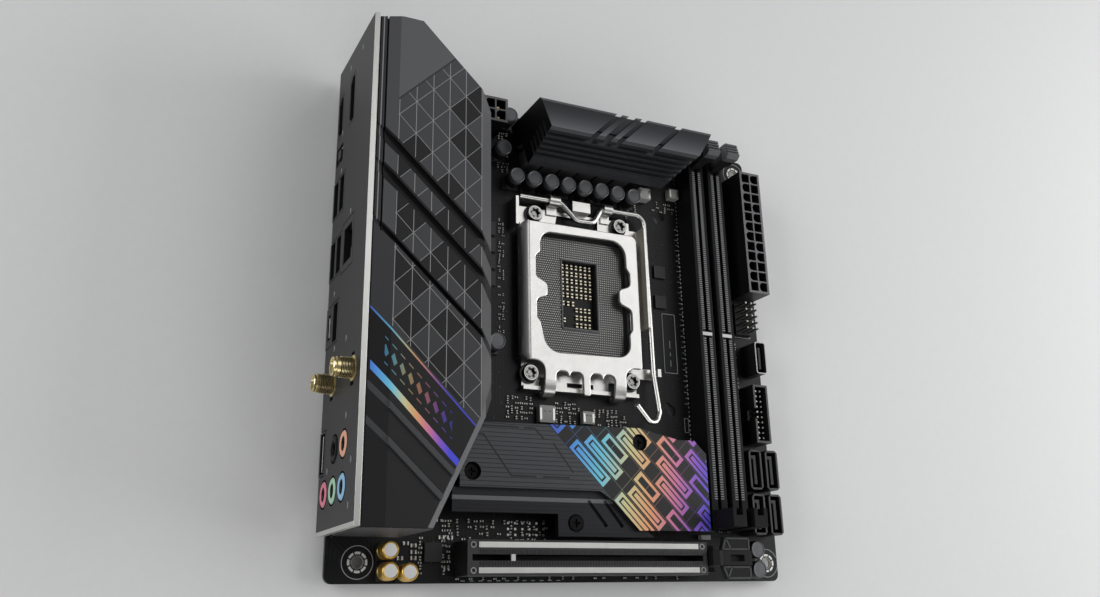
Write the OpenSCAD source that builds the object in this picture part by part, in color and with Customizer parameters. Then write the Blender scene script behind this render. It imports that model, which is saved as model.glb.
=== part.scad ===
// Small square motherboard with a processor socket, two memory slots, one expansion slot,
// power and signal headers, finned heatsinks and a covered rear connector panel.
// X runs from the rear panel across the board, Y from the expansion slot to the far edge,
// and Z out of the component side, with Z = 0 on the board's upper face until place() shifts it.

/* [Board] */
// Width of the board, away from the rear panel
board_w = 170; // [169:0.5:180]
// Depth of the board, along the rear panel
board_d = 170; // [169:0.5:180]
// Thickness of the board
board_t = 1.6; // [1.2:0.1:2.4]
// Radius of the board's corners
board_corner_r = 2.5; // [1:0.5:4]
// Radius of the four standoff holes
standoff_r = 1.98; // [1.6:0.02:2.2]
// Clearance between a screw and the hole that it passes
screw_gap = 0.25; // [0.1:0.05:0.4]
// Length of the soldered pin ends below the board
tail_l = 1.7; // [1:0.1:2]

/* [Rear panel] */
// Length of the panel along the board's edge
panel_l = 158.75; // [156:0.25:162]
// Height of the panel
panel_h = 43.25; // [41:0.25:46]
// Thickness of the panel's sheet
panel_t = 0.8; // [0.5:0.1:1]
// Depth of the panel's folded edges
panel_fold = 1.7; // [1.5:0.1:2.4]
// Distance from the board's edge to the panel's outer face
panel_reach = 3.2; // [2.5:0.1:4]
// Height of the panel's lower edge above the board
panel_rise = 0.5; // [0.2:0.1:1]
// Distance from the board's front edge to the panel's end
panel_y0 = 13.5; // [12:0.25:15]
// Distance that the ports stand out of the panel
port_proud = 0; // [0:0.1:1]
// Gap around a port in the panel's cut-outs
port_gap = 0.3; // [0.2:0.05:0.4]
// Width of a type-A port
usb_w = 13.6; // [13:0.1:14]
// Height of a type-A port
usb_h = 6.4; // [6:0.1:7]
// Sheet thickness of the port shells
port_wall = 0.6; // [0.4:0.05:0.8]
// Outer radius of an audio jack's ring
jack_r = 4; // [3.4:0.1:4.4]
// Radius of an audio jack's bore
jack_bore_r = 1.8; // [1.75:0.05:2]
// Height of the lowest row of jacks
jack_z = 7.9; // [7:0.1:9]
// Pitch of the jacks, upwards
jack_pitch = 10.5; // [9.4:0.1:11]
// Length of the antenna threads beyond the panel
antenna_l = 6.3; // [6:0.1:10]
// Radius of the antenna threads
antenna_r = 3.15; // [2.8:0.05:3.4]
// Travel of the rear push button
button_travel = 0.8; // [0.4:0.1:1.2]

/* [Rear cover] */
// Height of the cover's flat top above the board
cover_h = 44.5; // [43.5:0.25:50]
// Height of the cover's lower edge above the board
cover_low = 13; // [12.5:0.5:20]
// Wall thickness of the cover
cover_wall = 2.6; // [2.2:0.1:3.2]
// Bevel along the cover's long edge over the board
cover_bevel = 5; // [3:0.5:7]
// Width of the diagonal grooves in the cover
groove_w = 2.9; // [2:0.1:4]
// Depth of the diagonal grooves in the cover
groove_t = 1.6; // [0.8:0.1:1.8]

/* [Processor socket] */
// Socket centre, from the board's right edge
socket_right = 81.5; // [80:0.5:84]
// Socket centre, from the board's front edge
socket_y = 100; // [99.5:0.1:100.5]
// Package width that the socket takes
package_w = 37.5; // [36:0.5:38]
// Package depth that the socket takes
package_d = 45; // [43:0.5:45.5]
// Height of the load plate's lower face
plate_z = 5; // [5:0.1:5.6]
// Sheet thickness of the load plate
plate_t = 1.4; // [1:0.1:1.6]
// Radius of the lever's wire
wire_r = 1; // [0.8:0.05:1.05]
// Running clearance between the lever and its curled tabs
pivot_gap = 0.05; // [0.02:0.01:0.1]
// Gap between moving pieces and what they pass
move_gap = 0.4; // [0.3:0.05:0.5]
// Spacing of the cooler holes
cooler_pitch = 78; // [77:0.5:79]
// Radius of the cooler holes
cooler_r = 2; // [1.8:0.05:2.2]
// Thickness of the backplate under the board
backplate_t = 2.6; // [2.2:0.1:4]

/* [Memory slots] */
// Pitch of the memory slots
dimm_pitch = 9; // [8.6:0.1:9.4]
// Width of a memory slot's body
dimm_w = 6.6; // [6:0.1:7]
// Height of a memory slot's body
dimm_h = 10; // [8:0.25:11]
// Length of the contact rows
dimm_l = 132; // [128:0.5:132]
// Width of the groove for the module
module_t = 1.5; // [1.4:0.05:1.8]
// Height of the slot's fixed tower
tower_h = 21.5; // [18:0.5:24]
// Height of the swinging latch
latch_h = 24; // [22:0.5:26]

/* [Expansion slot] */
// Length of the slot
slot_l = 89.3; // [89:0.1:90]
// Width of the slot
slot_w = 10.9; // [10:0.1:11.4]
// Height of the slot
slot_h = 11.2; // [10.6:0.1:12]
// Length of the release latch beyond its pivot
release_l = 13.6; // [12:0.2:14]

/* [Heatsinks] */
// Height of the finned heatsink's ridge
sink_h = 30.5; // [28:0.5:36]
// Number of gaps between the fins
fin_gaps = 5; // [3:1:6]
// Depth of the gaps between the fins
fin_d = 5; // [2:0.5:6]
// Height of the drive heatsink's top
m2_h = 10; // [9:0.25:12]
// Thickness of the drive heatsink's plate
m2_t = 4; // [3:0.25:4.5]

/* [Power and headers] */
// Pitch of the power connector cells
cell_pitch = 4.2; // [4.1:0.05:4.3]
// Side of a power connector cell
cell_w = 3.6; // [3.2:0.1:3.7]
// Height of the power connectors
power_h = 12.8; // [11:0.2:14]
// Pitch of the header pins
pin_pitch = 2.54; // [2.4:0.02:2.6]
// Side of a header pin
pin_w = 0.64; // [0.5:0.02:0.7]

/* [Round parts] */
// Radius of the large capacitors
cap_r = 3.1; // [2.6:0.1:3.2]
// Height of the large capacitors
cap_h = 8; // [6:0.25:9]
// Radius of the audio capacitors
audio_cap_r = 2.8; // [2.2:0.1:2.9]
// Height of the audio capacitors
audio_cap_h = 7; // [5:0.25:9]

/* [Hidden] */
$fn = 48;
// Length by which a cut runs past the face that it opens
eps = 0.02;
// Gap between a screw's shank and its threaded hole
thread_gap = 0.05;

// Rear panel planes, and the plane of the port mouths
panel_x = -panel_reach;
panel_back = panel_x + panel_t;
panel_y1 = panel_y0 + panel_l;
panel_z1 = panel_rise + panel_h;
mouth_x = panel_x - port_proud;

// Reach of the whole object, which sets the origin at the middle of its base
cover_end_y = panel_y1 + 0.4;
rib_h = 0.6;
// Socket centre and left reach, from the board's right edge, and the cover's right side
socket_x = board_w - socket_right;
socket_left = socket_x - 26.6;
cover_x1 = 38.2;
// Line that the far connectors are set back from: the board's far edge, or further out where the
// socket needs the room
far_room = 69.8;
far_y = max(board_d, socket_y + far_room);
x_low = panel_x - antenna_l;
x_high = board_w;
y_low = 0;
y_high = max(far_y, cover_end_y);
z_low = -board_t - backplate_t;

// Standoff holes, from the edges that they are dimensioned from
standoff_at = [
    [10.16, 6.35],
    [board_w - 4.9, 6.35],
    [board_w - 4.9, board_d - 6.17],
    [33.02, board_d - 6.17]
];

// Power connectors, set back from the right and the far edge
cell_wall = 0.6;
atx_w = 2 * cell_pitch + 2 * cell_wall;
atx_x = board_w - 1.8 - atx_w;
atx_y = 107.6;
eps_x = 38;
eps_y = far_y - 0.5 - atx_w;

// Middle lines of the memory slots, from the power connector leftwards
dimm_b_x = atx_x - 10.5;
dimm_a_x = dimm_b_x - dimm_pitch;

// Ends of the finned heatsink, between the processor power connector and the memory slots
sink_left = eps_x + 4 * cell_pitch + 2 * cell_wall + 5.9;
sink_right = dimm_a_x - dimm_w / 2 - 0.2;

// Moves a shape from board coordinates to the object's own origin
module place() {
    translate([-(x_low + x_high) / 2, -(y_low + y_high) / 2, -z_low]) children();
}

// Box between two opposite corners
module box(low, high) {
    translate(low) cube(high - low);
}

// Extrudes a profile drawn in Y and Z along X
module along_x(x0, x1) {
    translate([x0, 0, 0]) rotate([90, 0, 90]) linear_extrude(x1 - x0) children();
}

// Extrudes a profile drawn in X and Z along Y
module along_y(y0, y1) {
    translate([0, y1, 0]) rotate([90, 0, 0]) linear_extrude(y1 - y0) children();
}

// Round bar along X
module rod_x(x0, x1, y, z, r) {
    translate([x0, y, z]) rotate([0, 90, 0]) cylinder(r = r, h = x1 - x0);
}

// Round bar along Y
module rod_y(y0, y1, x, z, r) {
    translate([x, y0, z]) rotate([-90, 0, 0]) cylinder(r = r, h = y1 - y0);
}

// Hole through the board
module drill(at, r) {
    translate([at[0], at[1], -board_t - eps]) cylinder(r = r, h = board_t + 2 * eps);
}

// Vector brought to length 1, and the flat part of a corner [x, y, radius]
function unit(v) = v / norm(v);
function xy(c) = [c[0], c[1]];

// Points of the arc that rounds corner c between its neighbours p and q
function corner_arc(p, c, q, n) =
    let (u = unit(xy(p) - xy(c)), v = unit(xy(q) - xy(c)), half = acos(u * v) / 2, r = c[2])
    let (o = xy(c) + unit(u + v) * r / sin(half), s = xy(c) + u * r / tan(half) - o)
    let (e = xy(c) + v * r / tan(half) - o, a0 = atan2(s[1], s[0]), a1 = atan2(e[1], e[0]))
    let (turn = a1 - a0 > 180 ? a1 - a0 - 360 : a1 - a0 < -180 ? a1 - a0 + 360 : a1 - a0)
    [for (i = [0 : n]) o + r * [cos(a0 + turn * i / n), sin(a0 + turn * i / n)]];

// Outline from corners [x, y, radius], where radius 0 keeps the corner sharp
function rounded(corners, n = 6) =
    let (m = len(corners))
    [for (i = [0 : m - 1])
        let (p = corners[(i + m - 1) % m], c = corners[i], q = corners[(i + 1) % m])
        each (c[2] > 0 ? corner_arc(p, c, q, n) : [xy(c)])];

// Corners of a rectangle with one radius
function rectangle(x0, y0, x1, y1, r) = [[x0, y0, r], [x1, y0, r], [x1, y1, r], [x0, y1, r]];

// Outline moved inwards by d, for points that run anticlockwise
function inset(pts, d) =
    let (m = len(pts))
    [for (i = [0 : m - 1])
        let (a = unit(pts[i] - pts[(i + m - 1) % m]), b = unit(pts[(i + 1) % m] - pts[i]))
        let (na = [-a[1], a[0]], nb = [-b[1], b[0]])
        pts[i] + (na + nb) * d / (1 + na * nb)];

// Board

// Cooler holes around the socket, each with a smaller lobe towards the older pattern
cooler_at = [for (i = [-1, 1], j = [-1, 1])
    [socket_x + i * cooler_pitch / 2, socket_y + j * cooler_pitch / 2]];
cooler_lobe = 1.5;
socket_screw_r = 1.5;
socket_screw_row = [[20.5, -30.2], [17.9, 30.2]];
socket_screw_at = [for (i = [-1, 1], row = socket_screw_row) [socket_x + i * row[0], socket_y + row[1]]];
heatsink_screw_r = 1.3;
cover_post_at = [[29, 146], [32, 98], [27, 44]];
sink_screw_at = [[sink_left + 8.1, far_y - 9], [sink_right - 7, far_y - 9]];
heatsink_screw_at = concat(cover_post_at, sink_screw_at);

module pcb() {
    color("#15171a") place() difference() {
        translate([0, 0, -board_t]) linear_extrude(board_t)
            polygon(rounded(rectangle(0, 0, board_w, board_d, board_corner_r)));
        for (at = standoff_at) drill(at, standoff_r);
        for (at = cooler_at) {
            drill(at, cooler_r);
            drill(at + cooler_lobe * [sign(socket_x - at[0]), sign(socket_y - at[1])], cooler_lobe);
        }
        for (at = socket_screw_at) drill(at, socket_screw_r + screw_gap);
        for (at = heatsink_screw_at) drill(at, heatsink_screw_r + screw_gap);
    }
}

// Pin ends of the through-hole connectors, soldered under the board
tail_r = 0.55;
module tail_row(x, y, nx, ny, dx, dy) {
    for (i = [0 : nx - 1], j = [0 : ny - 1])
        translate([x + i * dx, y + j * dy, -board_t - tail_l])
            cylinder(r1 = tail_r * 0.6, r2 = tail_r, h = tail_l);
}

module solder_tails() {
    color("silver") place() {
        tail_row(atx_x + cell_pitch / 2, atx_y + cell_pitch / 2 + 0.6, 2, 12, cell_pitch, cell_pitch);
        tail_row(eps_x + cell_pitch / 2 + 0.9, eps_y + cell_pitch / 2, 4, 2, cell_pitch, cell_pitch);
        tail_row(4, usb_pair_y - 5.25, 2, 4, 2.6, 3.5);
        tail_row(4, usb_lan_y - 5.25, 2, 4, 2.6, 3.5);
        tail_row(4, usb_mixed_y - 5.25, 2, 4, 2.6, 3.5);
        tail_row(4, jack_front_y - 3, 2, 2, 5, 6);
        tail_row(usb3_x + 2, usb3_y + 2, 2, 10, 2, 2);
        tail_row(front_panel_x, front_panel_y, 3, 5, pin_pitch, pin_pitch);
    }
}

// Places in the gap between the cover and the socket
side_chip_w = 3.6;
side_chip_x = cover_x1 + 0.7065 * (socket_left - side_chip_w - cover_x1);
side_cap_x = cover_x1 + cap_r + 0.657 * (socket_left + 1.7 - 2 * cap_r - cover_x1);

// Integrated circuits on the board, as [x, y, width, depth, height]
chip_list = [
    [31.4, 6.5, 5.9, 5.9, 1.2],
    [socket_x + 34.1, 112.6, 5, 5, 1],
    [socket_x + 33.9, 100.4, 5, 5, 1],
    [side_chip_x, 101, side_chip_w, 5.2, 0.9],
    [side_chip_x, 107.4, side_chip_w, 5.2, 0.9],
    [side_chip_x, 113.8, side_chip_w, 5.2, 0.9],
    [side_chip_x, 120.2, side_chip_w, 5.2, 0.9],
    [22, 74, 9, 9, 1]
];
module chips() {
    color("#0d0e10") place() for (c = chip_list)
        box([c[0], c[1], 0], [c[0] + c[2], c[1] + c[3], c[4]]);
}

// Small shielded inductors, as [x, y, width, depth, height]
inductor_list = [
    [socket_x - 16.9, 52.9, 6, 6, 2.8],
    [socket_x + 0.3, 53.4, 4.6, 4.5, 2.4],
    [socket_x + 27.7, far_y - 26.3, 4.8, 4.6, 4],
    [dimm_a_x - 8.5, far_y - 23.4, 4.2, 4, 3],
    [dimm_a_x - 3.5, 14.4, 4, 1.6, 2]
];
module inductors() {
    color("#a9aaa6") place() for (c = inductor_list)
        box([c[0], c[1], 0], [c[0] + c[2], c[1] + c[3], c[4]]);
}

// Round capacitor standing on its square foot
foot_h = 0.9;
module capacitor(at, r, h) {
    translate([at[0], at[1], 0]) {
        box([-r, -r, 0], [r, r, foot_h]);
        cylinder(r = r, h = h);
    }
}

cap_row_y = far_y - 27.7;
cap_row_x = socket_left;
cap_row_pitch = 7.03;
cap_row_count = 8;
low_cap_h = 6;
small_cap_at = [[board_w - 12.6, 10.9], [board_w - 12.4, 3.9]];
cap_at = concat(
    [for (i = [0 : cap_row_count - 1]) [cap_row_x + i * cap_row_pitch, cap_row_y]],
    [[sink_left - 2.6, far_y - 3.6], [sink_left - 5.1, far_y - 17.2], [side_cap_x, socket_y - 21]]);
module polymer_capacitors() {
    color("#17181a") place() {
        for (at = cap_at) capacitor(at, cap_r, cap_h);
        for (at = small_cap_at) capacitor(at, cap_r, low_cap_h);
    }
}

audio_cap_at = [[18.6, 9.7], [18.8, 3.5], [25, 3.2]];
module audio_capacitors() {
    color("#c9962e") place() for (at = audio_cap_at) capacitor(at, audio_cap_r, audio_cap_h);
}

// Power supply parts under the finned heatsink

stage_h = 0.9;
pad_t = 1;
choke_h = 6.6;
phase_pitch = 7.6;
phase_count = 6;
phase_x = sink_left + 7.3;
choke_y = far_y - 18.4;
stage_y = far_y - 12.5;
module power_stages() {
    color("#0c0d0f") place() for (i = [0 : phase_count - 1])
        translate([phase_x + i * phase_pitch, stage_y, 0]) box([-2.5, -1, 0], [2.5, 2, stage_h]);
}

module power_chokes() {
    color("#2a2b2d") place() for (i = [0 : phase_count - 1])
        translate([phase_x + i * phase_pitch, choke_y, 0]) box([-3.3, -3.1, 0], [3.3, 3.1, choke_h]);
}

// Heatsink section in Y and Z, and its slanted ends in plan
sink_back_y = far_y - 5.6;
sink_back_h = sink_h - 2;
sink_ridge_y = sink_back_y - 12;
sink_front_y = sink_back_y - 16.8;
sink_base = choke_h + 1;
bar_top = sink_base + 5;
sink_top_t = 3;
fin_pitch = (sink_h - sink_top_t - bar_top) / fin_gaps;
fin_gap_h = fin_pitch * 0.55;
sink_plan = [
    [sink_left, sink_back_y + 0.6], [sink_left + 4.4, sink_front_y - 0.6],
    [sink_right - 12.2, sink_front_y - 0.6], [sink_right, sink_back_y + 0.6]
];
slash_w = [1.6, 2.4, 1.6, 1.8];
slash_back = [40.8, 35.3, 30.1, 14.7];
slash_t = 1.8;
function front_y(z) =
    sink_ridge_y + (sink_front_y - sink_ridge_y) * (sink_h - z) / (sink_h - sink_base);

module vrm_heatsink() {
    color("#3a3c40") place() difference() {
        intersection() {
            union() {
                along_x(sink_left - 2, sink_right + 2) polygon([
                    [sink_back_y, sink_base], [sink_back_y, sink_back_h - 1],
                    [sink_back_y - 1.4, sink_back_h], [sink_ridge_y, sink_h], [sink_front_y, sink_base]
                ]);
                box([sink_left - 2, stage_y - 1.5, stage_h + pad_t],
                    [sink_right + 2, sink_back_y, sink_base + eps]);
            }
            linear_extrude(sink_h + 1) polygon(sink_plan);
        }
        for (i = [0 : fin_gaps - 1]) {
            z = bar_top + i * fin_pitch + (fin_pitch - fin_gap_h) / 2;
            box([sink_left - 2, front_y(z) - 2, z],
                [sink_right + 2, front_y(z + fin_gap_h) + fin_d, z + fin_gap_h]);
        }
        for (i = [0 : 3]) translate([sink_right - slash_back[i], sink_back_y, sink_h]) rotate([0, 0, -45])
            box([-slash_w[i] / 2, -18, -3 - slash_t], [slash_w[i] / 2, 1, 1]);
        for (at = sink_screw_at) translate([at[0], at[1], 0])
            cylinder(r = heatsink_screw_r + thread_gap, h = 6);
    }
}

module thermal_pads() {
    color("#8d9094") place() {
        box([phase_x - 2, stage_y - 1, stage_h],
            [phase_x + (phase_count - 1) * phase_pitch + 2, stage_y + 2, stage_h + pad_t]);
        box([m2_pad_x, m2_pad_y, m2_under - pad_t],
            [m2_pad_x + m2_pad_l, m2_pad_y + m2_pad_w, m2_under]);
    }
}

// Screws from below into the finned heatsink and the rear cover
screw_head_h = 1.5;
module heatsink_screws() {
    color("#3b3d40") place() for (at = heatsink_screw_at) translate([at[0], at[1], 0]) {
        translate([0, 0, -board_t - screw_head_h]) difference() {
            cylinder(r = 2.4, h = screw_head_h);
            translate([0, 0, -eps]) cylinder(r = 0.9, h = 0.8, $fn = 6);
        }
        translate([0, 0, -board_t - eps]) cylinder(r = heatsink_screw_r, h = board_t + 5);
    }
}

// Processor socket, drawn about its own centre

module at_socket() {
    place() translate([socket_x, socket_y, 0]) children();
}

seat_gap = 0.2;
seat_x = package_w / 2 + seat_gap;
seat_y = package_d / 2 + seat_gap;
rim_t = 1.4;
contact_z = 2.4;
rim_z = 4.4;
well = [[-6.8, -12], [7.2, 13.5]];

module socket_body() {
    color("#1d1e20") at_socket() difference() {
        box([-seat_x - rim_t, -seat_y - rim_t, 0], [seat_x + rim_t, seat_y + rim_t, rim_z]);
        box([-seat_x, -seat_y, contact_z], [seat_x, seat_y, rim_z + 1]);
        box([well[0][0], well[0][1], -1], [well[1][0], well[1][1], rim_z]);
    }
}

// Sprung contacts, as one thin field round the open well
contact_t = 0.4;
well_lip = 0.8;
module socket_contacts() {
    color("#8b8471") at_socket() difference() {
        box([0.8 - seat_x, 0.8 - seat_y, contact_z],
            [seat_x - 0.8, seat_y - 0.8, contact_z + contact_t]);
        box([well[0][0] - well_lip, well[0][1] - well_lip, 0],
            [well[1][0] + well_lip, well[1][1] + well_lip, rim_z]);
    }
}

// Ceramic capacitors on the board inside the well
module socket_capacitors() {
    color("#c8b48a") at_socket() for (i = [0 : 6], j = [0 : 7])
        translate([-5.6 + i * 1.9, -10 + j * 3 + (j > 2 ? 0.6 : 0), 0])
            box([-0.6, -0.9, 0], [0.6, 0.9, 0.8]);
}

// Steel frame round the socket: strips, curled lever tabs, ear, tongue, latch and hinge lip
frame_t = 1.6;
frame_x = seat_x + rim_t + 0.5;
frame_out = frame_x + 2.3;
pivot_y = 36;
pivot_z = 4;
curl_x = [[-12.5, -8.3], [10.4, 14.1]];
arm_x = 28.4;
guard_t = 0.8;
guard_h = 7.6;
guard_x = arm_x - wire_r - 0.4 - guard_t;
guard_y = [-10, 30];
crank_gap = [[-9.4, 24], [9, 24], [9.4, 31.4], [-8, 31.4]];
curl_t = 1.15;
hinge_y = -37;
hinge_z = 2;
hinge_r = 1.3;
hinge_tabs = [[-16.2, -11.9], [11.8, 16.4]];
lip_h = 3.4;
frame_slots = [[-5.4, 0.6], [2.2, 5.2]];
latch_x = 30.4;
latch_y = -26.5;

module socket_frame() {
    color("#d8d8d4") at_socket() difference() {
        union() {
            difference() {
                box([-frame_out, -36, 0], [frame_out, 33, frame_t]);
                box([-frame_x, -seat_y - rim_t - 0.5, -1], [frame_x, seat_y + rim_t + 0.5, 5]);
                translate([0, 0, -1]) linear_extrude(5) polygon(crank_gap);
            }
            box([-frame_out, -36, 0], [frame_out, -34.6, lip_h]);
            box([-26.6, 26.5, 0], [-frame_out + 1, 33, frame_t]);
            box([-26.6, 24, 0], [-25.4, 35, 6]);
            box([-2.6, 32, 0], [4.9, 33.4, frame_t]);
            box([-2.6, 33.2, 0], [4.9, 37.2, 4.6]);
            for (c = curl_x) {
                box([c[0], 31, 0], [c[1], pivot_y, 2.3]);
                rod_x(c[0], c[1], pivot_y, pivot_z, wire_r + pivot_gap + curl_t);
            }
            box([frame_x, latch_y - 2, 0], [latch_x + 1.4, latch_y + 2, 1.4]);
            box([frame_x, guard_y[0], 0], [guard_x + guard_t, guard_y[1], frame_t]);
            box([guard_x, guard_y[0], 0], [guard_x + guard_t, guard_y[1], guard_h]);
            box([latch_x, latch_y - 1.5, 0], [latch_x + 1.4, latch_y + 1.5, 5.6]);
        }
        for (c = curl_x) rod_x(c[0] - 1, c[1] + 1, pivot_y, pivot_z, wire_r + pivot_gap);
        for (t = hinge_tabs) box([t[0] - move_gap, -37, -1], [t[1] + move_gap, -31, lip_h + 1]);
        for (x = frame_slots) box([x[0], -33.9, -1], [x[1], -32.3, frame_t + 1]);
        for (at = socket_screw_at) translate([at[0] - socket_x, at[1] - socket_y, -1])
            cylinder(r = socket_screw_r + screw_gap, h = 5);
    }
}

module socket_screws() {
    color("#b9b8b2") place() for (at = socket_screw_at) translate([at[0], at[1], 0]) difference() {
        union() {
            translate([0, 0, frame_t]) cylinder(r = 2.8, h = 2.6);
            translate([0, 0, frame_t]) cylinder(r = 3.3, h = 0.7);
            translate([0, 0, -board_t - backplate_t + 0.3])
                cylinder(r = socket_screw_r, h = board_t + backplate_t + frame_t);
        }
        translate([0, 0, frame_t + 1.2]) cylinder(r = 1.5, h = 2, $fn = 6);
    }
}

module socket_backplate() {
    color("#2b2c2e") at_socket() translate([0, 0, -board_t - backplate_t]) difference() {
        linear_extrude(backplate_t) polygon(rounded([
            [-27, -24, 3], [-22, -37, 3], [22, -37, 3], [27, -24, 3],
            [27, 24, 3], [22, 37, 3], [-22, 37, 3], [-27, 24, 3]
        ]));
        translate([0, 0, -1]) linear_extrude(backplate_t + 2)
            polygon(rounded(rectangle(-15, -19, 15, 19, 4)));
        for (at = socket_screw_at) translate([at[0] - socket_x, at[1] - socket_y, -1])
            cylinder(r = socket_screw_r + thread_gap, h = backplate_t + 2);
    }
}

// Load plate: flat steel with a shaped window, a rolled flank and two hinge tabs
plate_left = -24.9;
plate_right = 23.6;
plate_top = 26;
notch_y = -26;
notch_r = 3.6;
lobe_y = -29.2;
lobe_r = 1.5;
cusp_y = -30.9;
cusp_r = 0.2;
tab_x = [-1.2, 1.6];
tab_end = -37.4;
leg_end = -34;
plate_outline = [
    [plate_left, notch_y, 1], [hinge_tabs[0][0], notch_y, notch_r], [hinge_tabs[0][0], leg_end, 0],
    [hinge_tabs[0][1], leg_end, 0], [hinge_tabs[0][1], lobe_y, lobe_r * 1.4], [-7.1, lobe_y, lobe_r],
    [-7.1, cusp_y, cusp_r], [-6.4, cusp_y, cusp_r], [-6.4, lobe_y, lobe_r],
    [tab_x[0], lobe_y, lobe_r * 1.4], [tab_x[0], tab_end, 0.8], [tab_x[1], tab_end, 0.8],
    [tab_x[1], lobe_y, lobe_r * 1.4], [6.4, lobe_y, lobe_r], [6.4, cusp_y, cusp_r],
    [7.1, cusp_y, cusp_r], [7.1, lobe_y, lobe_r], [hinge_tabs[1][0], lobe_y, lobe_r * 1.4],
    [hinge_tabs[1][0], leg_end, 0], [hinge_tabs[1][1], leg_end, 0], [hinge_tabs[1][1], notch_y, notch_r],
    [plate_right, notch_y, 1], [plate_right, plate_top, 2.5], [plate_left, plate_top, 2.5]
];
plate_window = [
    [-17.2, 22.3, 4.5], [-17.2, 14.6, 1.5], [-19.1, 12.8, 2], [-19.1, 4.8, 2], [-14.6, 2.6, 1.8],
    [-14.6, -2, 1.8], [-18.9, -3.5, 2.2], [-18.9, -10.2, 2], [-17.5, -12, 2], [-15.3, -22.8, 6.5],
    [18.7, -22, 5], [18.7, -13.2, 2], [20, -11.5, 2], [20, -3.8, 2.2], [14.9, -1.6, 1.8],
    [14.9, 3.6, 1.8], [19.8, 5.5, 2.2], [19.8, 10.5, 2], [18.4, 12.5, 2], [18.3, 22.9, 6]
];
module load_plate() {
    color("#dcdcd8") at_socket() {
        translate([0, 0, plate_z]) linear_extrude(plate_t) difference() {
            polygon(rounded(plate_outline));
            polygon(rounded(plate_window));
        }
        for (t = hinge_tabs) along_x(t[0], t[1]) {
            polygon([
                [-33.6, plate_z], [-33.6, plate_z + plate_t], [-34.6, plate_z + plate_t],
                [hinge_y - hinge_r * 0.8, hinge_z + hinge_r * 0.6], [hinge_y, hinge_z],
                [hinge_y + hinge_r * 0.8, hinge_z + hinge_r * 0.6]
            ]);
            translate([hinge_y, hinge_z]) circle(r = hinge_r);
        }
        plate_flank();
    }
}

// Flank of the load plate, bent down beside the frame
flank_t = 1.2;
flank_drop = 2.4;
module plate_flank() {
    box([plate_left, -22, plate_z - flank_drop], [plate_left + flank_t, 22, plate_z + eps]);
}

// Lever: one bent wire, from its pivots and crank to the hooked end
lever_path = [
    [-24.2, pivot_y, pivot_z], [-7.5, pivot_y, pivot_z], [-2.9, 31.2, pivot_z], [4.6, 30.8, pivot_z],
    [9.8, pivot_y, pivot_z], [26.3, pivot_y, pivot_z], [arm_x, 33.4, 4.3], [29, -27, 4.4],
    [29.8, -41.4, 6], [28, -45, 6.8], [24.4, -45.6, 7.8], [18.4, -40, 9.4]
];
crank_corners = 4;
crank_bend_r = 1.6;
arm_bend_r = 3;
bend_steps = 6;
wire_sides = 16;

// Points of the arc of radius r that rounds corner c of a path in space between p and q
function bend(p, c, q, r) =
    let (u = unit(p - c), v = unit(q - c), half = acos(u * v) / 2, turn = 180 - 2 * half)
    let (o = c + unit(u + v) * r / sin(half))
    let (s = unit(c + u * r / tan(half) - o), e = unit(c + v * r / tan(half) - o))
    [for (i = [0 : bend_steps])
        let (a = turn * i / bend_steps)
        o + r * (s * sin(turn - a) + e * sin(a)) / sin(turn)];

// Path with every inner corner rounded
function bent(path) = [
    path[0],
    for (i = [1 : len(path) - 2]) each
        bend(path[i - 1], path[i], path[i + 1], i > crank_corners ? arm_bend_r : crank_bend_r),
    path[len(path) - 1]
];

// Ring of points round p, square to the direction t
function ring(p, t, r) =
    let (side = unit(cross(t, [0, 0, 1])), up = cross(side, t))
    [for (j = [0 : wire_sides - 1])
        let (a = 360 * j / wire_sides)
        p + r * (cos(a) * side + sin(a) * up)];

// Round wire along a path of points
module wire(path, r) {
    pts = bent(path);
    last = len(pts) - 1;
    n = wire_sides;
    rings = [for (i = [0 : last]) each
        ring(pts[i], unit(pts[min(i + 1, last)] - pts[max(i - 1, 0)]), r)];
    walls = [for (i = [0 : last - 1], j = [0 : n - 1])
        let (k = (j + 1) % n)
        each [
            [i * n + j, i * n + k, (i + 1) * n + k],
            [i * n + j, (i + 1) * n + k, (i + 1) * n + j]
        ]];
    caps = [[for (j = [1 : n]) n - j], [for (j = [0 : n - 1]) last * n + j]];
    polyhedron(points = rings, faces = concat(walls, caps), convexity = 8);
}

module load_lever() {
    color("#c9c9c4") at_socket() wire(lever_path, wire_r);
}

// Memory slots

dimm_y0 = 25.4;
dimm_y1 = dimm_y0 + dimm_l;
tower_l = 8;
groove_z = 3;
latch_w = 5.4;
latch_stem_w = 3.6;
latch_pin_r = 0.9;
latch_hub_r = 2.4;
latch_y0 = dimm_y1 + move_gap + latch_hub_r;
latch_z0 = 4.4;
cheek_t = 1.1;
dimm_key_y = 89.4;
dimm_key_l = 1.8;

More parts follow.
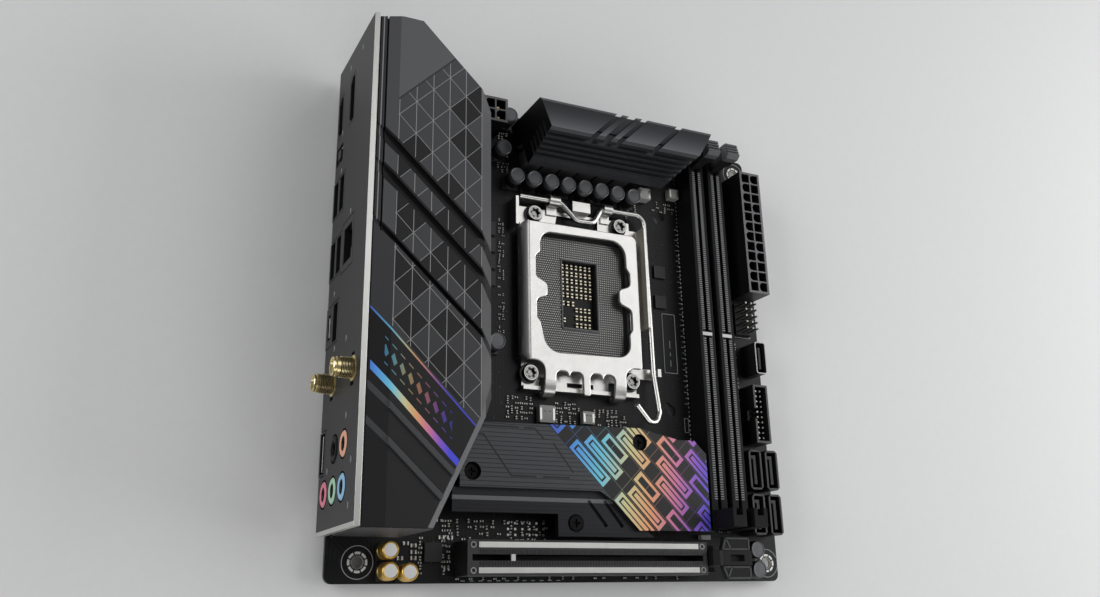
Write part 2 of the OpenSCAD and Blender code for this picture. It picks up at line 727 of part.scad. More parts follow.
module dimm_slot(x) {
    side = latch_stem_w / 2 + move_gap;
    place() translate([x, 0, 0]) {
        difference() {
            union() {
                box([-dimm_w / 2, dimm_y0 - tower_l, 0], [dimm_w / 2, dimm_y1, dimm_h]);
                along_y(dimm_y0 - tower_l, dimm_y0 - 1.5) polygon([
                    [-dimm_w / 2, 0], [dimm_w / 2, 0],
                    [dimm_w / 2 - 0.5, tower_h], [0.5 - dimm_w / 2, tower_h]
                ]);
            }
            for (y = [
                [dimm_y0 - 2.5, dimm_key_y - dimm_key_l / 2],
                [dimm_key_y + dimm_key_l / 2, dimm_y1 + 1]
            ]) box([-module_t / 2, y[0], groove_z], [module_t / 2, y[1], tower_h + 1]);
            box([-module_t / 2 - 0.6, dimm_y0 - 4, dimm_h],
                [module_t / 2 + 0.6, dimm_y0, tower_h + 1]);
        }
        for (i = [-1, 1]) translate([i * (side + cheek_t / 2), 0, 0])
            box([-cheek_t / 2, dimm_y1 - 1, 0], [cheek_t / 2, latch_y0 + 2.6, dimm_h]);
        rod_x(-side - cheek_t / 2, side + cheek_t / 2, latch_y0, latch_z0, latch_pin_r);
    }
}

// Latch at a slot's far end: hub on a pin, stem and ribbed thumb pad
module dimm_latch(x) {
    pad_y = latch_y0 + 1.4;
    place() translate([x, 0, 0]) difference() {
        union() {
            along_x(-latch_stem_w / 2, latch_stem_w / 2) {
                translate([latch_y0, latch_z0]) circle(r = latch_hub_r);
                polygon([
                    [latch_y0 - latch_hub_r, latch_z0], [latch_y0 + latch_hub_r, latch_z0],
                    [pad_y + 2.2, latch_h - 4], [pad_y + 2.2, latch_h - 2], [latch_y0 - 1.6, latch_h - 2]
                ]);
            }
            along_x(-latch_w / 2, latch_w / 2) difference() {
                polygon([
                    [pad_y - 3.2, latch_h - 8], [pad_y + 0.6, latch_h - 8], [pad_y + 3.2, latch_h - 4.5],
                    [pad_y + 3.2, latch_h - 1.4], [pad_y - 1.8, latch_h], [pad_y - 3.2, latch_h - 1.6]
                ]);
                for (i = [0 : 2]) translate([pad_y - 0.7 + i * 1.3, latch_h - 0.5 - i * 0.36])
                    square([0.5, 1.4], center = true);
            }
        }
        rod_x(-latch_w, latch_w, latch_y0, latch_z0, latch_pin_r + pivot_gap);
    }
}

module dimm_slot_a() { color("#141517") dimm_slot(dimm_a_x); }
module dimm_slot_b() { color("#141517") dimm_slot(dimm_b_x); }
module dimm_latch_a() { color("#4a4c50") dimm_latch(dimm_a_x); }
module dimm_latch_b() { color("#4a4c50") dimm_latch(dimm_b_x); }

// Expansion slot along the front edge, with steel bars and a release latch

slot_x = 42;
slot_y = 7.35;
slot_x1 = slot_x + slot_l;
slot_groove = 1.9;
slot_key_x = 56.6;
slot_key_l = 1.9;
slot_end_l = 3.7;
bar_w = 1.75;
bar_y = 3.9;
bar_z = slot_h - 1.6;
release_x = slot_x1 + 3.4;
release_z = 4.4;
release_hub = 2.6;
release_w = 5;
release_pin_r = 1;
ear_t = 1.6;
ear_y = release_w / 2 + move_gap;

module pcie_slot() {
    color("#2e3033") place() translate([0, slot_y, 0]) {
        difference() {
            box([slot_x, -slot_w / 2, 0], [slot_x1, slot_w / 2, slot_h]);
            for (x = [[slot_x + 1.6, slot_key_x], [slot_key_x + slot_key_l, slot_x1 - 1.6]])
                box([x[0], -slot_groove / 2, 3], [x[1], slot_groove / 2, slot_h + 1]);
            for (i = [-1, 1]) translate([0, i * bar_y, 0])
                box([slot_x + slot_end_l, -bar_w / 2, bar_z],
                    [slot_x1 - slot_end_l, bar_w / 2, slot_h + 1]);
        }
        for (i = [-1, 1]) translate([0, i * (ear_y + ear_t / 2), 0])
            box([slot_x1 - eps, -ear_t / 2, 0], [release_x + 2.4, ear_t / 2, release_z + 2.6]);
        rod_y(-ear_y - ear_t / 2, ear_y + ear_t / 2, release_x, release_z, release_pin_r);
    }
}

module pcie_shield() {
    color("#d9d8d3") place() for (i = [-1, 1]) translate([0, slot_y + i * bar_y, 0])
        box([slot_x + slot_end_l, -bar_w / 2, bar_z],
            [slot_x1 - slot_end_l, bar_w / 2, slot_h + 0.4]);
}

// Release latch: hub and hook on a pin, a windowed centre bar and two thumb wings
wing_y = 7.2;
module pcie_latch() {
    color("#2b2d30") place() translate([0, slot_y, 0]) difference() {
        union() {
            along_y(-release_w / 2, release_w / 2) {
                translate([release_x, release_z]) circle(r = release_hub);
                polygon([
                    [release_x - release_hub, release_z], [release_x + release_hub, release_z],
                    [release_x + 5, 11.5], [release_x + release_l, 11.5], [release_x + release_l, 14],
                    [release_x + 1.2, 14], [release_x - 1, 15.4], [release_x - release_hub, 13.6]
                ]);
            }
            translate([0, 0, 11.5]) linear_extrude(1.7) polygon([
                [release_x + 1.2, -2], [release_x + 2.8, -wing_y], [release_x + release_l, -wing_y],
                [release_x + release_l, wing_y], [release_x + 2.8, wing_y], [release_x + 1.2, 2]
            ]);
        }
        rod_y(-release_w, release_w, release_x, release_z, release_pin_r + pivot_gap);
        box([release_x + 4.4, -1.1, 12.4], [release_x + release_l - 3.2, 1.1, 15]);
    }
}

// Drive heatsink between the rear cover, the expansion slot and the memory slots

m2_right = dimm_a_x - dimm_w / 2 - 1.2;
m2_left = 39.6;
m2_under = m2_h - m2_t;
m2_low_h = m2_h - 1.5;
m2_pad_x = 48;
m2_pad_y = 26;
m2_pad_l = m2_right - m2_pad_x - 32;
m2_pad_w = 19;
m2_screw_r = 1.4;
m2_head_r = 2.5;
m2_screw_at = [[44, 34.2], [m2_right - 53, 18.6], [m2_right - 27.6, 46.6]];
m2_plate = [
    [m2_left, 29.2, 0], [m2_right - 44.2, 29.2, 0], [m2_right - 39.6, 26.4, 0], [m2_right - 29.3, 16.4, 0],
    [m2_right, 16.6, 0], [m2_right, 43.8, 0], [m2_right - 4.8, 48.4, 0],
    [m2_right - 11.6, 48.3, 0], [m2_right - 27.6, 51.6, 0], [m2_left, 50.2, 0]
];
m2_bar = [
    [m2_left - 2, 21.5, 0], [m2_right - 59.6, 21.5, 0], [m2_right - 59.6, 14.2, 0],
    [m2_right - 22.6, 14.2, 0], [m2_right - 40, 29.3, 0], [m2_left - 2, 29.3, 0]
];

module m2_heatsink() {
    color("#34363a") place() difference() {
        union() {
            translate([0, 0, m2_under]) linear_extrude(m2_t) polygon(rounded(m2_plate));
            translate([0, 0, m2_under]) linear_extrude(m2_low_h - m2_under) polygon(rounded(m2_bar));
            for (at = m2_screw_at) translate([at[0], at[1], 0])
                cylinder(r = m2_head_r + 0.6, h = m2_under + 1);
        }
        for (at = m2_screw_at) translate([at[0], at[1], -1]) {
            cylinder(r = m2_screw_r + thread_gap, h = m2_h + 5);
            translate([0, 0, m2_low_h - 0.2]) cylinder(r = m2_head_r + 0.4, h = 5);
        }
        for (i = [0, 1]) translate([m2_right - 48.1 + i * 6.2, 26, m2_low_h]) rotate([0, 0, 39])
            box([-0.6, -10.8, -0.9], [0.6, 0, 5]);
    }
}

module m2_screws() {
    color("#101113") place() for (at = m2_screw_at) translate([at[0], at[1], 0]) {
        translate([0, 0, 0.4]) cylinder(r = m2_screw_r, h = m2_low_h - 1);
        translate([0, 0, m2_low_h - 1.2]) difference() {
            cylinder(r = m2_head_r, h = 1.5);
            for (a = [0, 90]) rotate([0, 0, a]) box([-0.35, -1.5, 0.7], [0.35, 1.5, 2]);
        }
    }
}

// Edge socket for the drive, with its slot towards the rear panel
module m2_socket() {
    color("#17181a") place() translate([m2_right - 8.6, 24, 0]) difference() {
        box([0, 0, 0], [6.6, 21.9, 4.2]);
        box([-1, 1, 1.8], [4.4, 20.9, 2.8]);
    }
}

chipset_x = m2_right - 57;
chipset_y = 22;
chipset_h = 1.4;
module chipset() {
    color("#20323c") place() {
        box([chipset_x, chipset_y, 0], [chipset_x + 25, chipset_y + 24, 0.8]);
        box([chipset_x + 7, chipset_y + 8, 0.8 - eps], [chipset_x + 18, chipset_y + 16, chipset_h]);
    }
}

// Power connectors: rows of square cells, with one pin in each

cell_depth = 9.4;

// Centre of a cell, counted from the housing's corner
function cell_at(i) = cell_wall + (i + 0.5) * cell_pitch;

// Housing with nx by ny cells: one of each pair is round on its left side, in turns of two rows
module power_housing(x, y, nx, ny) {
    translate([x, y, 0]) difference() {
        box([0, 0, 0], [nx * cell_pitch + 2 * cell_wall, ny * cell_pitch + 2 * cell_wall, power_h]);
        for (i = [0 : nx - 1], j = [0 : ny - 1])
            translate([cell_at(i), cell_at(j), power_h - cell_depth])
                linear_extrude(cell_depth + 1)
                    cell((floor((j + 1) / 2) + i) % 2 == 1 ? 0.42 * cell_w : 0);
    }
}

module cell(r) {
    h = cell_w / 2;
    polygon(rounded([[-h, -h, r], [h, -h, 0], [h, h, 0], [-h, h, r]]));
}

module atx_connector() {
    color("#101113") place() {
        power_housing(atx_x, atx_y, 2, 12);
        box([atx_x + atx_w - eps, atx_y + 22, power_h - 7],
            [atx_x + atx_w + 1.3, atx_y + 29, power_h - 5.4]);
    }
}

module cpu_power_connector() {
    color("#101113") place() power_housing(eps_x, eps_y, 4, 2);
}

module power_pin_row(x, y, nx, ny) {
    for (i = [0 : nx - 1], j = [0 : ny - 1])
        translate([x + cell_at(i), y + cell_at(j), power_h - cell_depth])
            box([-0.55, -0.55, 0], [0.55, 0.55, 6.5]);
}

module power_pins() {
    color("#b48d45") place() {
        power_pin_row(atx_x, atx_y, 2, 12);
        power_pin_row(eps_x, eps_y, 4, 2);
    }
}

// Signal headers along the right edge

usb3_x = board_w - 11;
usb3_y = 49.4;
usb3_w = 6.6;
usb3_l = 22.2;
usb3_h = 9;
header_wall = 0.8;
header_floor = 2.2;
module usb3_header() {
    color("#121315") place() translate([usb3_x, usb3_y, 0]) difference() {
        box([0, 0, 0], [usb3_w, usb3_l, usb3_h]);
        box([header_wall, header_wall, header_floor],
            [usb3_w - header_wall, usb3_l - header_wall, usb3_h + 1]);
        box([-1, usb3_l / 2 - 2, header_floor + 2], [header_wall + 1, usb3_l / 2 + 2, usb3_h + 1]);
    }
}

front_panel_x = board_w - 10.5;
front_panel_y = 94.4;
front_panel_rows = 5;
front_panel_base_h = 2.4;
fan_x = 67.6;
fan_y = far_y - 3.4;
fan_pins = 4;
module header_bases() {
    color("#121315") place() {
        box([front_panel_x - 1.27, front_panel_y - 1.27, 0],
            [front_panel_x + 2.5 * pin_pitch, front_panel_y + (front_panel_rows - 0.5) * pin_pitch,
             front_panel_base_h]);
        box([fan_x - 1.3, fan_y - 1.6, 0],
            [fan_x + (fan_pins - 0.5) * pin_pitch, fan_y + 1.6, front_panel_base_h]);
        box([fan_x + 1, fan_y + 1.6 - eps, 0], [fan_x + 6.6, fan_y + 2.6, 5.4]);
    }
}

// Square pins standing on a header's base
module pin_grid(x, y, z0, z1, nx, ny, dx, dy) {
    for (i = [0 : nx - 1], j = [0 : ny - 1])
        translate([x + i * dx, y + j * dy, 0])
            box([-pin_w / 2, -pin_w / 2, z0], [pin_w / 2, pin_w / 2, z1]);
}

module header_pins() {
    color("#cfc9b8") place() {
        pin_grid(front_panel_x, front_panel_y, front_panel_base_h, 8.6,
            3, front_panel_rows, pin_pitch, pin_pitch);
        pin_grid(fan_x, fan_y, front_panel_base_h, 8.6, fan_pins, 1, pin_pitch, pin_pitch);
        pin_grid(usb3_x + usb3_w / 2 - 1, usb3_y + usb3_l / 2 - 9, header_floor, usb3_h - 1.6,
            2, 10, 2, 2);
    }
}

// Metal-shelled header for a front type-C cable, with its tongue
usb_c_x = board_w - 8.4;
usb_c_y = 76.2;
usb_c_w = 5;
usb_c_l = 12.6;
usb_c_h = 9;
module usb_c_header() {
    color("#b8b8b4") place() translate([usb_c_x, usb_c_y, 0]) {
        difference() {
            linear_extrude(usb_c_h) polygon(rounded(rectangle(0, 0, usb_c_w, usb_c_l, 1)));
            translate([0, 0, 1.5]) linear_extrude(usb_c_h)
                polygon(rounded(rectangle(0.4, 0.4, usb_c_w - 0.4, usb_c_l - 0.4, 0.7)));
        }
        box([usb_c_w / 2 - 0.5, 2, 1.4], [usb_c_w / 2 + 0.5, usb_c_l - 2, usb_c_h - 1]);
    }
}

// Four upright drive ports, each a walled box round an L-shaped tongue
sata_w = 5.6;
sata_l = 14.6;
sata_h = 9;
sata_wall = 0.75;
sata_x = [board_w - 15.6, board_w - 8.2];
sata_y = [15.8, 32];
module sata_ports() {
    color("#141517") place() for (x = sata_x, y = sata_y) translate([x, y, 0]) {
        difference() {
            linear_extrude(sata_h) polygon(rounded(rectangle(0, 0, sata_w, sata_l, 1), 1));
            box([sata_wall, sata_wall, 2], [sata_w - sata_wall, sata_l - sata_wall, sata_h + 1]);
        }
        box([sata_w / 2 - 0.6, 2, 1.9], [sata_w / 2 + 0.6, sata_l - 2, sata_h - 0.6]);
        box([sata_w / 2 - 1.5, sata_l - 3.2, 1.9], [sata_w / 2, sata_l - 2, sata_h - 0.6]);
    }
}

// Rear connectors, each with its mouth level with the panel's face

display_y = 153.6;
flash_y = 138.6;
usb_pair_y = 122.8;
usb_lan_y = 101.2;
usb_mixed_y = 78.5;
antenna_y = 58.2;
usb_single_y = 38.1;
jack_front_y = 25.4;
jack_back_y = 37.6;
antenna_z = [12.5, 36];
port_depth = 17.5;
mouth_depth = 12;
usb_step = usb_h + 1;
usb_mouth_w = usb_w - 2 * port_wall;
usb_mouth_h = usb_h - 2 * port_wall;
usb_low_z = 0.4;

// Mouths of the ports in Y and Z, as [y, z, width, height]
function usb_mouth(y, row) = [y, usb_low_z + usb_h / 2 + row * usb_step, usb_mouth_w, usb_mouth_h];
lan_w = 16.4;
lan_h = 13.4;
lan_z0 = usb_low_z + 2 * usb_step;
lan_mouth = [usb_lan_y, lan_z0 + 7, 11.8, 9];
type_c_mouth = [usb_mixed_y, usb_low_z + usb_h / 2, 8.4, 3];
hdmi_mouth = [display_y, 4.6, 14.2, 4.8];
display_mouth = [display_y, 19.2, 16.4, 5];
display_depth = 11;

// Metal shell from z0 up, with the listed mouths
module port_shell(y, w, z0, h, depth, mouths) {
    difference() {
        box([mouth_x, y - w / 2, z0], [mouth_x + depth, y + w / 2, z0 + h]);
        for (m = mouths) box(
            [mouth_x - 1, m[0] - m[2] / 2, m[1] - m[3] / 2],
            [mouth_x + mouth_depth, m[0] + m[2] / 2, m[1] + m[3] / 2]);
    }
}

// Shell with a mouth that narrows downwards, standing on two legs
module display_shell(m, z_foot) {
    w = m[2] / 2;
    h = m[3] / 2;
    translate([0, m[0], m[1]]) difference() {
        along_x(mouth_x, mouth_x + display_depth)
            square([2 * w + 2 * port_wall, 2 * h + 2 * port_wall], center = true);
        along_x(mouth_x - 1, mouth_x + display_depth - 2)
            polygon([[-w, h], [-w, -h / 3], [1.6 - w, -h], [w - 1.6, -h], [w, -h / 3], [w, h]]);
    }
    if (m[1] - h - port_wall > z_foot) for (i = [-1, 1]) translate([0, m[0] + i * (w - 0.4), 0])
        box([1.5, -0.6, z_foot], [mouth_x + display_depth, 0.6, m[1] - h - port_wall + eps]);
}

module displayport() { color("#2a2b2d") place() display_shell(display_mouth, hdmi_top); }
hdmi_top = hdmi_mouth[1] + hdmi_mouth[3] / 2 + port_wall;
module hdmi_port() { color("#2a2b2d") place() display_shell(hdmi_mouth, 0); }

module usb_pair_port() {
    color("#2a2b2d") place() port_shell(usb_pair_y, usb_w, 0, 2 * usb_step, port_depth,
        [usb_mouth(usb_pair_y, 0), usb_mouth(usb_pair_y, 1)]);
}

module usb_lan_port() {
    color("#2a2b2d") place() {
        port_shell(usb_lan_y, usb_w, 0, lan_z0, port_depth,
            [usb_mouth(usb_lan_y, 0), usb_mouth(usb_lan_y, 1)]);
        difference() {
            port_shell(usb_lan_y, lan_w, lan_z0 - eps, lan_h, port_depth + 3, [lan_mouth]);
            box([mouth_x - 1, usb_lan_y - 3, lan_mouth[1]],
                [mouth_x + 7, usb_lan_y + 3, lan_z0 + lan_h - 1]);
        }
    }
}

module usb_mixed_port() {
    color("#2a2b2d") place() port_shell(usb_mixed_y, usb_w, 0, 2 * usb_step, port_depth,
        [type_c_mouth, usb_mouth(usb_mixed_y, 1)]);
}

module usb_single_port() {
    color("#2a2b2d") place() port_shell(usb_single_y, usb_w, 0, usb_step, port_depth,
        [usb_mouth(usb_single_y, 0)]);
}

// Plastic tongues inside the ports, from the back of each mouth
module tongue(m, w, t, x1) {
    box([mouth_x + 1.6, m[0] - w / 2, m[1] - t / 2], [x1, m[0] + w / 2, m[1] + t / 2]);
}

module port_tongues() {
    color("#0e1416") place() {
        x1 = mouth_x + mouth_depth;
        for (y = [usb_pair_y, usb_lan_y], row = [0, 1]) tongue(usb_mouth(y, row), 11, 1.9, x1);
        tongue(usb_mouth(usb_mixed_y, 1), 11, 1.9, x1);
        tongue(usb_mouth(usb_single_y, 0), 11, 1.9, x1);
        tongue(type_c_mouth, 6.6, 0.8, x1);
        tongue(hdmi_mouth, 10.4, 1.3, mouth_x + display_depth - 2);
        tongue(display_mouth, 12.4, 1.3, mouth_x + display_depth - 2);
    }
}

// Push button in its switch body
button_w = 3.2;
button_z = 6.2;
button_l = 6;
switch_w = 7;
switch_h = 9.6;
module flash_button() {
    color("#1b1c1e") place() translate([mouth_x - 0.2, flash_y, button_z])
        box([0, -button_w / 2, -button_w / 2], [button_l, button_w / 2, button_w / 2]);
}

module flash_switch() {
    hole = button_w / 2 + move_gap;
    color("#17181a") place() difference() {
        box([panel_back + 0.3, flash_y - switch_w / 2, 0], [9, flash_y + switch_w / 2, switch_h]);
        translate([0, flash_y, button_z])
            box([panel_x, -hole, -hole], [mouth_x + button_l + button_travel + move_gap, hole, hole]);
    }
}

// Antenna sockets on a shielded radio module
antenna_bore = 2.2;
antenna_pin = 0.7;
nut_t = 1.9;
nut_x = panel_back + 0.1;
antenna_back = nut_x + nut_t + 0.3;
module antenna_jacks() {
    color("#c8a24a") place() for (z = antenna_z) difference() {
        rod_x(x_low, antenna_back, antenna_y, z, antenna_r);
        difference() {
            rod_x(x_low - 1, x_low + 4.5, antenna_y, z, antenna_bore);
            rod_x(x_low + 0.8, x_low + 5, antenna_y, z, antenna_pin);
        }
    }
}

module antenna_nuts() {
    color("#c8a24a") place() for (z = antenna_z) difference() {
        translate([nut_x, antenna_y, z]) rotate([0, 90, 0])
            cylinder(r = 4.5, h = nut_t, $fn = 6);
        rod_x(nut_x - 1, nut_x + nut_t + 1, antenna_y, z, antenna_r + thread_gap);
    }
}

module wifi_module() {
    color("#9a9b98") place() box([antenna_back, antenna_y - 6, 0], [16, antenna_y + 6, antenna_z[1] + antenna_r + 0.8]);
}

// Audio jacks: one housing with five bores, and a coloured ring on each
jack_base_x = panel_back + 0.2;
jack_tip_x = panel_x - 0.4;
jack_half = 5.6;
jack_depth = 13;
jack_at = [
    [jack_front_y, jack_z], [jack_front_y, jack_z + jack_pitch], [jack_front_y, jack_z + 2 * jack_pitch],
    [jack_back_y, jack_z + 2 * jack_pitch], [jack_back_y, jack_z + jack_pitch]
];
module audio_block() {
    color("#141517") place() difference() {
        union() {
            box([jack_base_x, jack_front_y - jack_half, 0],
                [jack_depth, jack_front_y + jack_half, jack_z + 2 * jack_pitch + 5]);
            box([jack_base_x, jack_front_y, jack_z + jack_pitch - 5],
                [jack_depth, jack_back_y + jack_half, jack_z + 2 * jack_pitch + 5]);
        }
        for (at = jack_at) rod_x(jack_base_x - 1, jack_depth + 1, at[0], at[1], jack_bore_r);
    }
}

module jack_ring(at) {
    place() difference() {
        union() {
            rod_x(jack_tip_x + 0.5, jack_base_x, at[0], at[1], jack_r);
            rod_x(jack_tip_x, jack_tip_x + 0.6, at[0], at[1], jack_r - 0.7);
        }
        rod_x(jack_tip_x - 1, jack_base_x + 1, at[0], at[1], jack_bore_r);
    }
}

module jack_pink() { color("#e0607f") jack_ring(jack_at[0]); }
module jack_green() { color("#8fd09a") jack_ring(jack_at[1]); }
module jack_blue() { color("#6fb4e6") jack_ring(jack_at[2]); }
module jack_orange() { color("#ea9a76") jack_ring(jack_at[3]); }
module jack_black() { color("#0e0f10") jack_ring(jack_at[4]); }

// Clock battery in its sleeve, under the cover
battery_r = 10;
battery_h = 4.2;
battery_at = [25.6, 122];
module cmos_battery() {
    color("#26282b") place() translate([battery_at[0], battery_at[1], 0])
        cylinder(r = battery_r, h = battery_h);
}

// Rear panel sheet with folded edges and a cut-out for each port

// Rectangular cut-out round a port, with the gap added
module panel_cut(y, z, w, h) {
    box([panel_x - 1, y - w / 2 - port_gap, z - h / 2 - port_gap],
        [panel_back + 1, y + w / 2 + port_gap, z + h / 2 + port_gap]);
}

module io_shield() {
    color("#3f4145") place() difference() {
        box([panel_x, panel_y0, panel_rise], [panel_x + panel_fold, panel_y1, panel_z1]);
        box([panel_back, panel_y0 + panel_t, panel_rise + panel_t],
            [5, panel_y1 - panel_t, panel_z1 - panel_t]);
        for (y = [usb_pair_y, usb_lan_y, usb_mixed_y])
            panel_cut(y, usb_step, usb_w, 2 * usb_step);
        panel_cut(usb_single_y, usb_step / 2, usb_w, usb_step);
        panel_cut(usb_lan_y, lan_z0 + lan_h / 2, lan_w, lan_h);
        for (m = [hdmi_mouth, display_mouth])
            panel_cut(m[0], m[1], m[2] + 2 * port_wall, m[3] + 2 * port_wall);
        panel_cut(flash_y, switch_h / 2 + 0.9, switch_w - 1, switch_h - 1.8);
        for (z = antenna_z) rod_x(panel_x - 1, 5, antenna_y, z, antenna_r + port_gap);
        for (at = jack_at) rod_x(panel_x - 1, 5, at[0], at[1], jack_r + port_gap);
        box([panel_back - eps, panel_y0 + panel_t, -1],
            [5, panel_y1 - panel_t, panel_rise + panel_t + eps]);
    }
}

// Rear cover: a shell open to the panel and the board, hung on posts

cover_x0 = panel_x + panel_fold + 0.2;
cover_left_h = panel_z1 - 0.4;
cover_plan = [
    [cover_x0, panel_y0 - 0.4], [19.4, panel_y0 - 0.6], [cover_x1, 51.4], [cover_x1, 147.4],
    [12.6, cover_end_y], [6.2, cover_end_y], [cover_x0, cover_end_y - 1.2]
];
cover_section = [
    [cover_x0, cover_low], [cover_x1, cover_low], [cover_x1, cover_h - cover_bevel],
    [cover_x1 - cover_bevel, cover_h], [cover_x0 + 6.5, cover_h], [cover_x0, cover_left_h]
];
post_r = 2.8;
rail_w = 2.2;
rail_gap_w = 0.6;
rail_gap_t = 1;
rail_y0 = 98.6;
end_bevel = 2;
end_from = cover_plan[1];
end_to = cover_plan[2];
end_turn = atan2(end_to[1] - end_from[1], end_to[0] - end_from[0]);

// Diagonal line across the cover, as [y at the board's edge, width, end x]
groove_slope = -0.945;
cover_grooves = [[131.2, groove_w, 40], [119.3, groove_w, 40], [101.2, groove_w * 0.45, 40]];
cover_ribs = [[51.5, 1.6, 34], [41.4, 1.6, 32]];

module cover_stripe(y, w, x1, z0, z1) {
    a = atan(groove_slope);
    translate([0, y, 0]) rotate([0, 0, a])
        box([-8, -w / 2, z0], [x1 / cos(a), w / 2, z1]);
}

module io_cover() {
    color("#4b4d51") place() {
        difference() {
            intersection() {
                linear_extrude(cover_h + 1) polygon(cover_plan);
                along_y(0, board_d + 10) polygon(cover_section);
            }
            intersection() {
                linear_extrude(cover_h + 1) polygon(inset(cover_plan, cover_wall));
                along_y(0, board_d + 10) polygon(inset(cover_section, cover_wall));
            }
            box([cover_x0 - 1, panel_y0 + cover_wall, cover_low - 1],
                [cover_x0 + cover_wall + 1, panel_y1 - cover_wall - 1, cover_left_h - cover_wall]);
            translate([0, 0, cover_low - 1]) linear_extrude(cover_wall + 2)
                polygon(inset(cover_plan, cover_wall));
            for (g = cover_grooves) cover_stripe(g[0], g[1], g[2], cover_h - groove_t, cover_h + 1);
            box([cover_x0 + rail_w, rail_y0, cover_left_h - rail_gap_t],
                [cover_x0 + rail_w + rail_gap_w, cover_end_y + 1, cover_h + 1]);
            translate([end_from[0], end_from[1], cover_h]) rotate([0, 0, end_turn])
                along_x(-4, norm(end_to - end_from) + 6)
                    polygon([[-1, 1], [end_bevel, 1], [end_bevel, 0], [0, -end_bevel], [-1, -end_bevel]]);
        }
        for (r = cover_ribs) intersection() {
            cover_stripe(r[0], r[1], r[2], cover_h - 1, cover_h + rib_h);
            linear_extrude(cover_h + 1) polygon(inset(cover_plan, 1));
            box([cover_x0 + 6.5, 0, 0], [40, 200, 60]);
            translate([end_from[0], end_from[1], 0]) rotate([0, 0, end_turn])
                box([-20, end_bevel, 0], [80, 60, 60]);
        }
        for (at = cover_post_at) translate([at[0], at[1], 0]) difference() {
            cylinder(r = post_r, h = cover_h - 1);
            translate([0, 0, -1]) cylinder(r = heatsink_screw_r + thread_gap, h = 7);
        }
    }
}

pcb();
solder_tails();
chips();
inductors();
polymer_capacitors();
audio_capacitors();
power_stages();
power_chokes();
vrm_heatsink();
thermal_pads();
heatsink_screws();
socket_body();
socket_contacts();
socket_frame();
socket_screws();
socket_backplate();
load_plate();
load_lever();
socket_capacitors();
dimm_slot_a();
dimm_slot_b();
dimm_latch_a();
dimm_latch_b();
pcie_slot();
pcie_shield();
pcie_latch();
m2_heatsink();
m2_screws();
m2_socket();
chipset();
atx_connector();
cpu_power_connector();
power_pins();
usb3_header();
header_pins();
header_bases();
usb_c_header();
sata_ports();
io_shield();
io_cover();
displayport();
hdmi_port();
usb_pair_port();
usb_lan_port();
usb_mixed_port();
usb_single_port();
port_tongues();
flash_button();
flash_switch();
antenna_jacks();
antenna_nuts();
wifi_module();
audio_block();
jack_pink();
jack_green();
jack_blue();
jack_orange();
jack_black();
cmos_battery();
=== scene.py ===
import bpy
import numpy as np
from mathutils import Matrix, Vector
from mathutils.geometry import tessellate_polygon


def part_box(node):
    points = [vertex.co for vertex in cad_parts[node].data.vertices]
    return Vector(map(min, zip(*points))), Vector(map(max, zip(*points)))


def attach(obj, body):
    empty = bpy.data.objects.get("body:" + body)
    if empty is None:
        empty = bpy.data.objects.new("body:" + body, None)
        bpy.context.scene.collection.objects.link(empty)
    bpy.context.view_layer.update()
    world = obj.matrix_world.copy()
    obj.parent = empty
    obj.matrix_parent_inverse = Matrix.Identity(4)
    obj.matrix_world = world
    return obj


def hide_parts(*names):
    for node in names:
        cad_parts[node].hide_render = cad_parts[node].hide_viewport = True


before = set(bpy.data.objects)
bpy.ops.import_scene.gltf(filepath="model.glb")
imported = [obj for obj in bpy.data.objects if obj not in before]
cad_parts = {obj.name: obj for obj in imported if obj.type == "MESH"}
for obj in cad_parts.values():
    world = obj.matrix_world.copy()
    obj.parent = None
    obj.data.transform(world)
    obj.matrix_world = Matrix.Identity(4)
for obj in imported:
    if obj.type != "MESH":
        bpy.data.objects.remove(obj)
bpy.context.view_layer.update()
scene = bpy.context.scene
scene.view_settings.view_transform = "Standard"

# Studio
# A pale seamless floor, large softboxes and a camera above the rear-panel corner.
# Places are in millimetres on the board: X from its rear edge, Y from its slot edge,
# and Z up from its component face.
board_low, board_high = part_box("pcb")
corner = np.array((board_low.x, board_low.y, board_high.z))
MM = 0.001


def metres(points):
    """Points in board millimetres, moved to the corner of the board in metres."""
    return corner + np.asarray(points, float) * MM


def on_board(place):
    """Place in the frame, in board millimetres."""
    return (np.array(place) - corner) / MM


camera = bpy.data.objects.new("camera", bpy.data.cameras.new("camera"))
scene.collection.objects.link(camera)
scene.camera = camera
camera_at = (-75.99, -10.0, 314.05)
ahead = Vector((0.42049, 0.32529, -0.84698))
upright = Vector((-0.12469, 0.94538, 0.30118))
turned = Matrix((ahead.cross(upright), upright, -ahead)).transposed().to_4x4()
turned.translation = Vector(metres(camera_at))
camera.matrix_world = turned
camera.data.sensor_width = 36
camera.data.lens = 32.825
camera.data.shift_x = -0.00403
camera.data.shift_y = -0.02654
camera.data.clip_start = 0.01


def softbox(name, place, aim, width, height, watts):
    """Rectangular lamp at a place, turned to face the aim, both in board millimetres."""
    lamp = bpy.data.lights.new(name, "AREA")
    lamp.shape = "RECTANGLE"
    lamp.size = width
    lamp.size_y = height
    lamp.energy = watts
    holder = bpy.data.objects.new(name, lamp)
    scene.collection.objects.link(holder)
    start = Vector(metres(place))
    holder.rotation_mode = "QUATERNION"
    holder.rotation_quaternion = (Vector(metres(aim)) - start).to_track_quat("-Z", "Y")
    holder.location = start


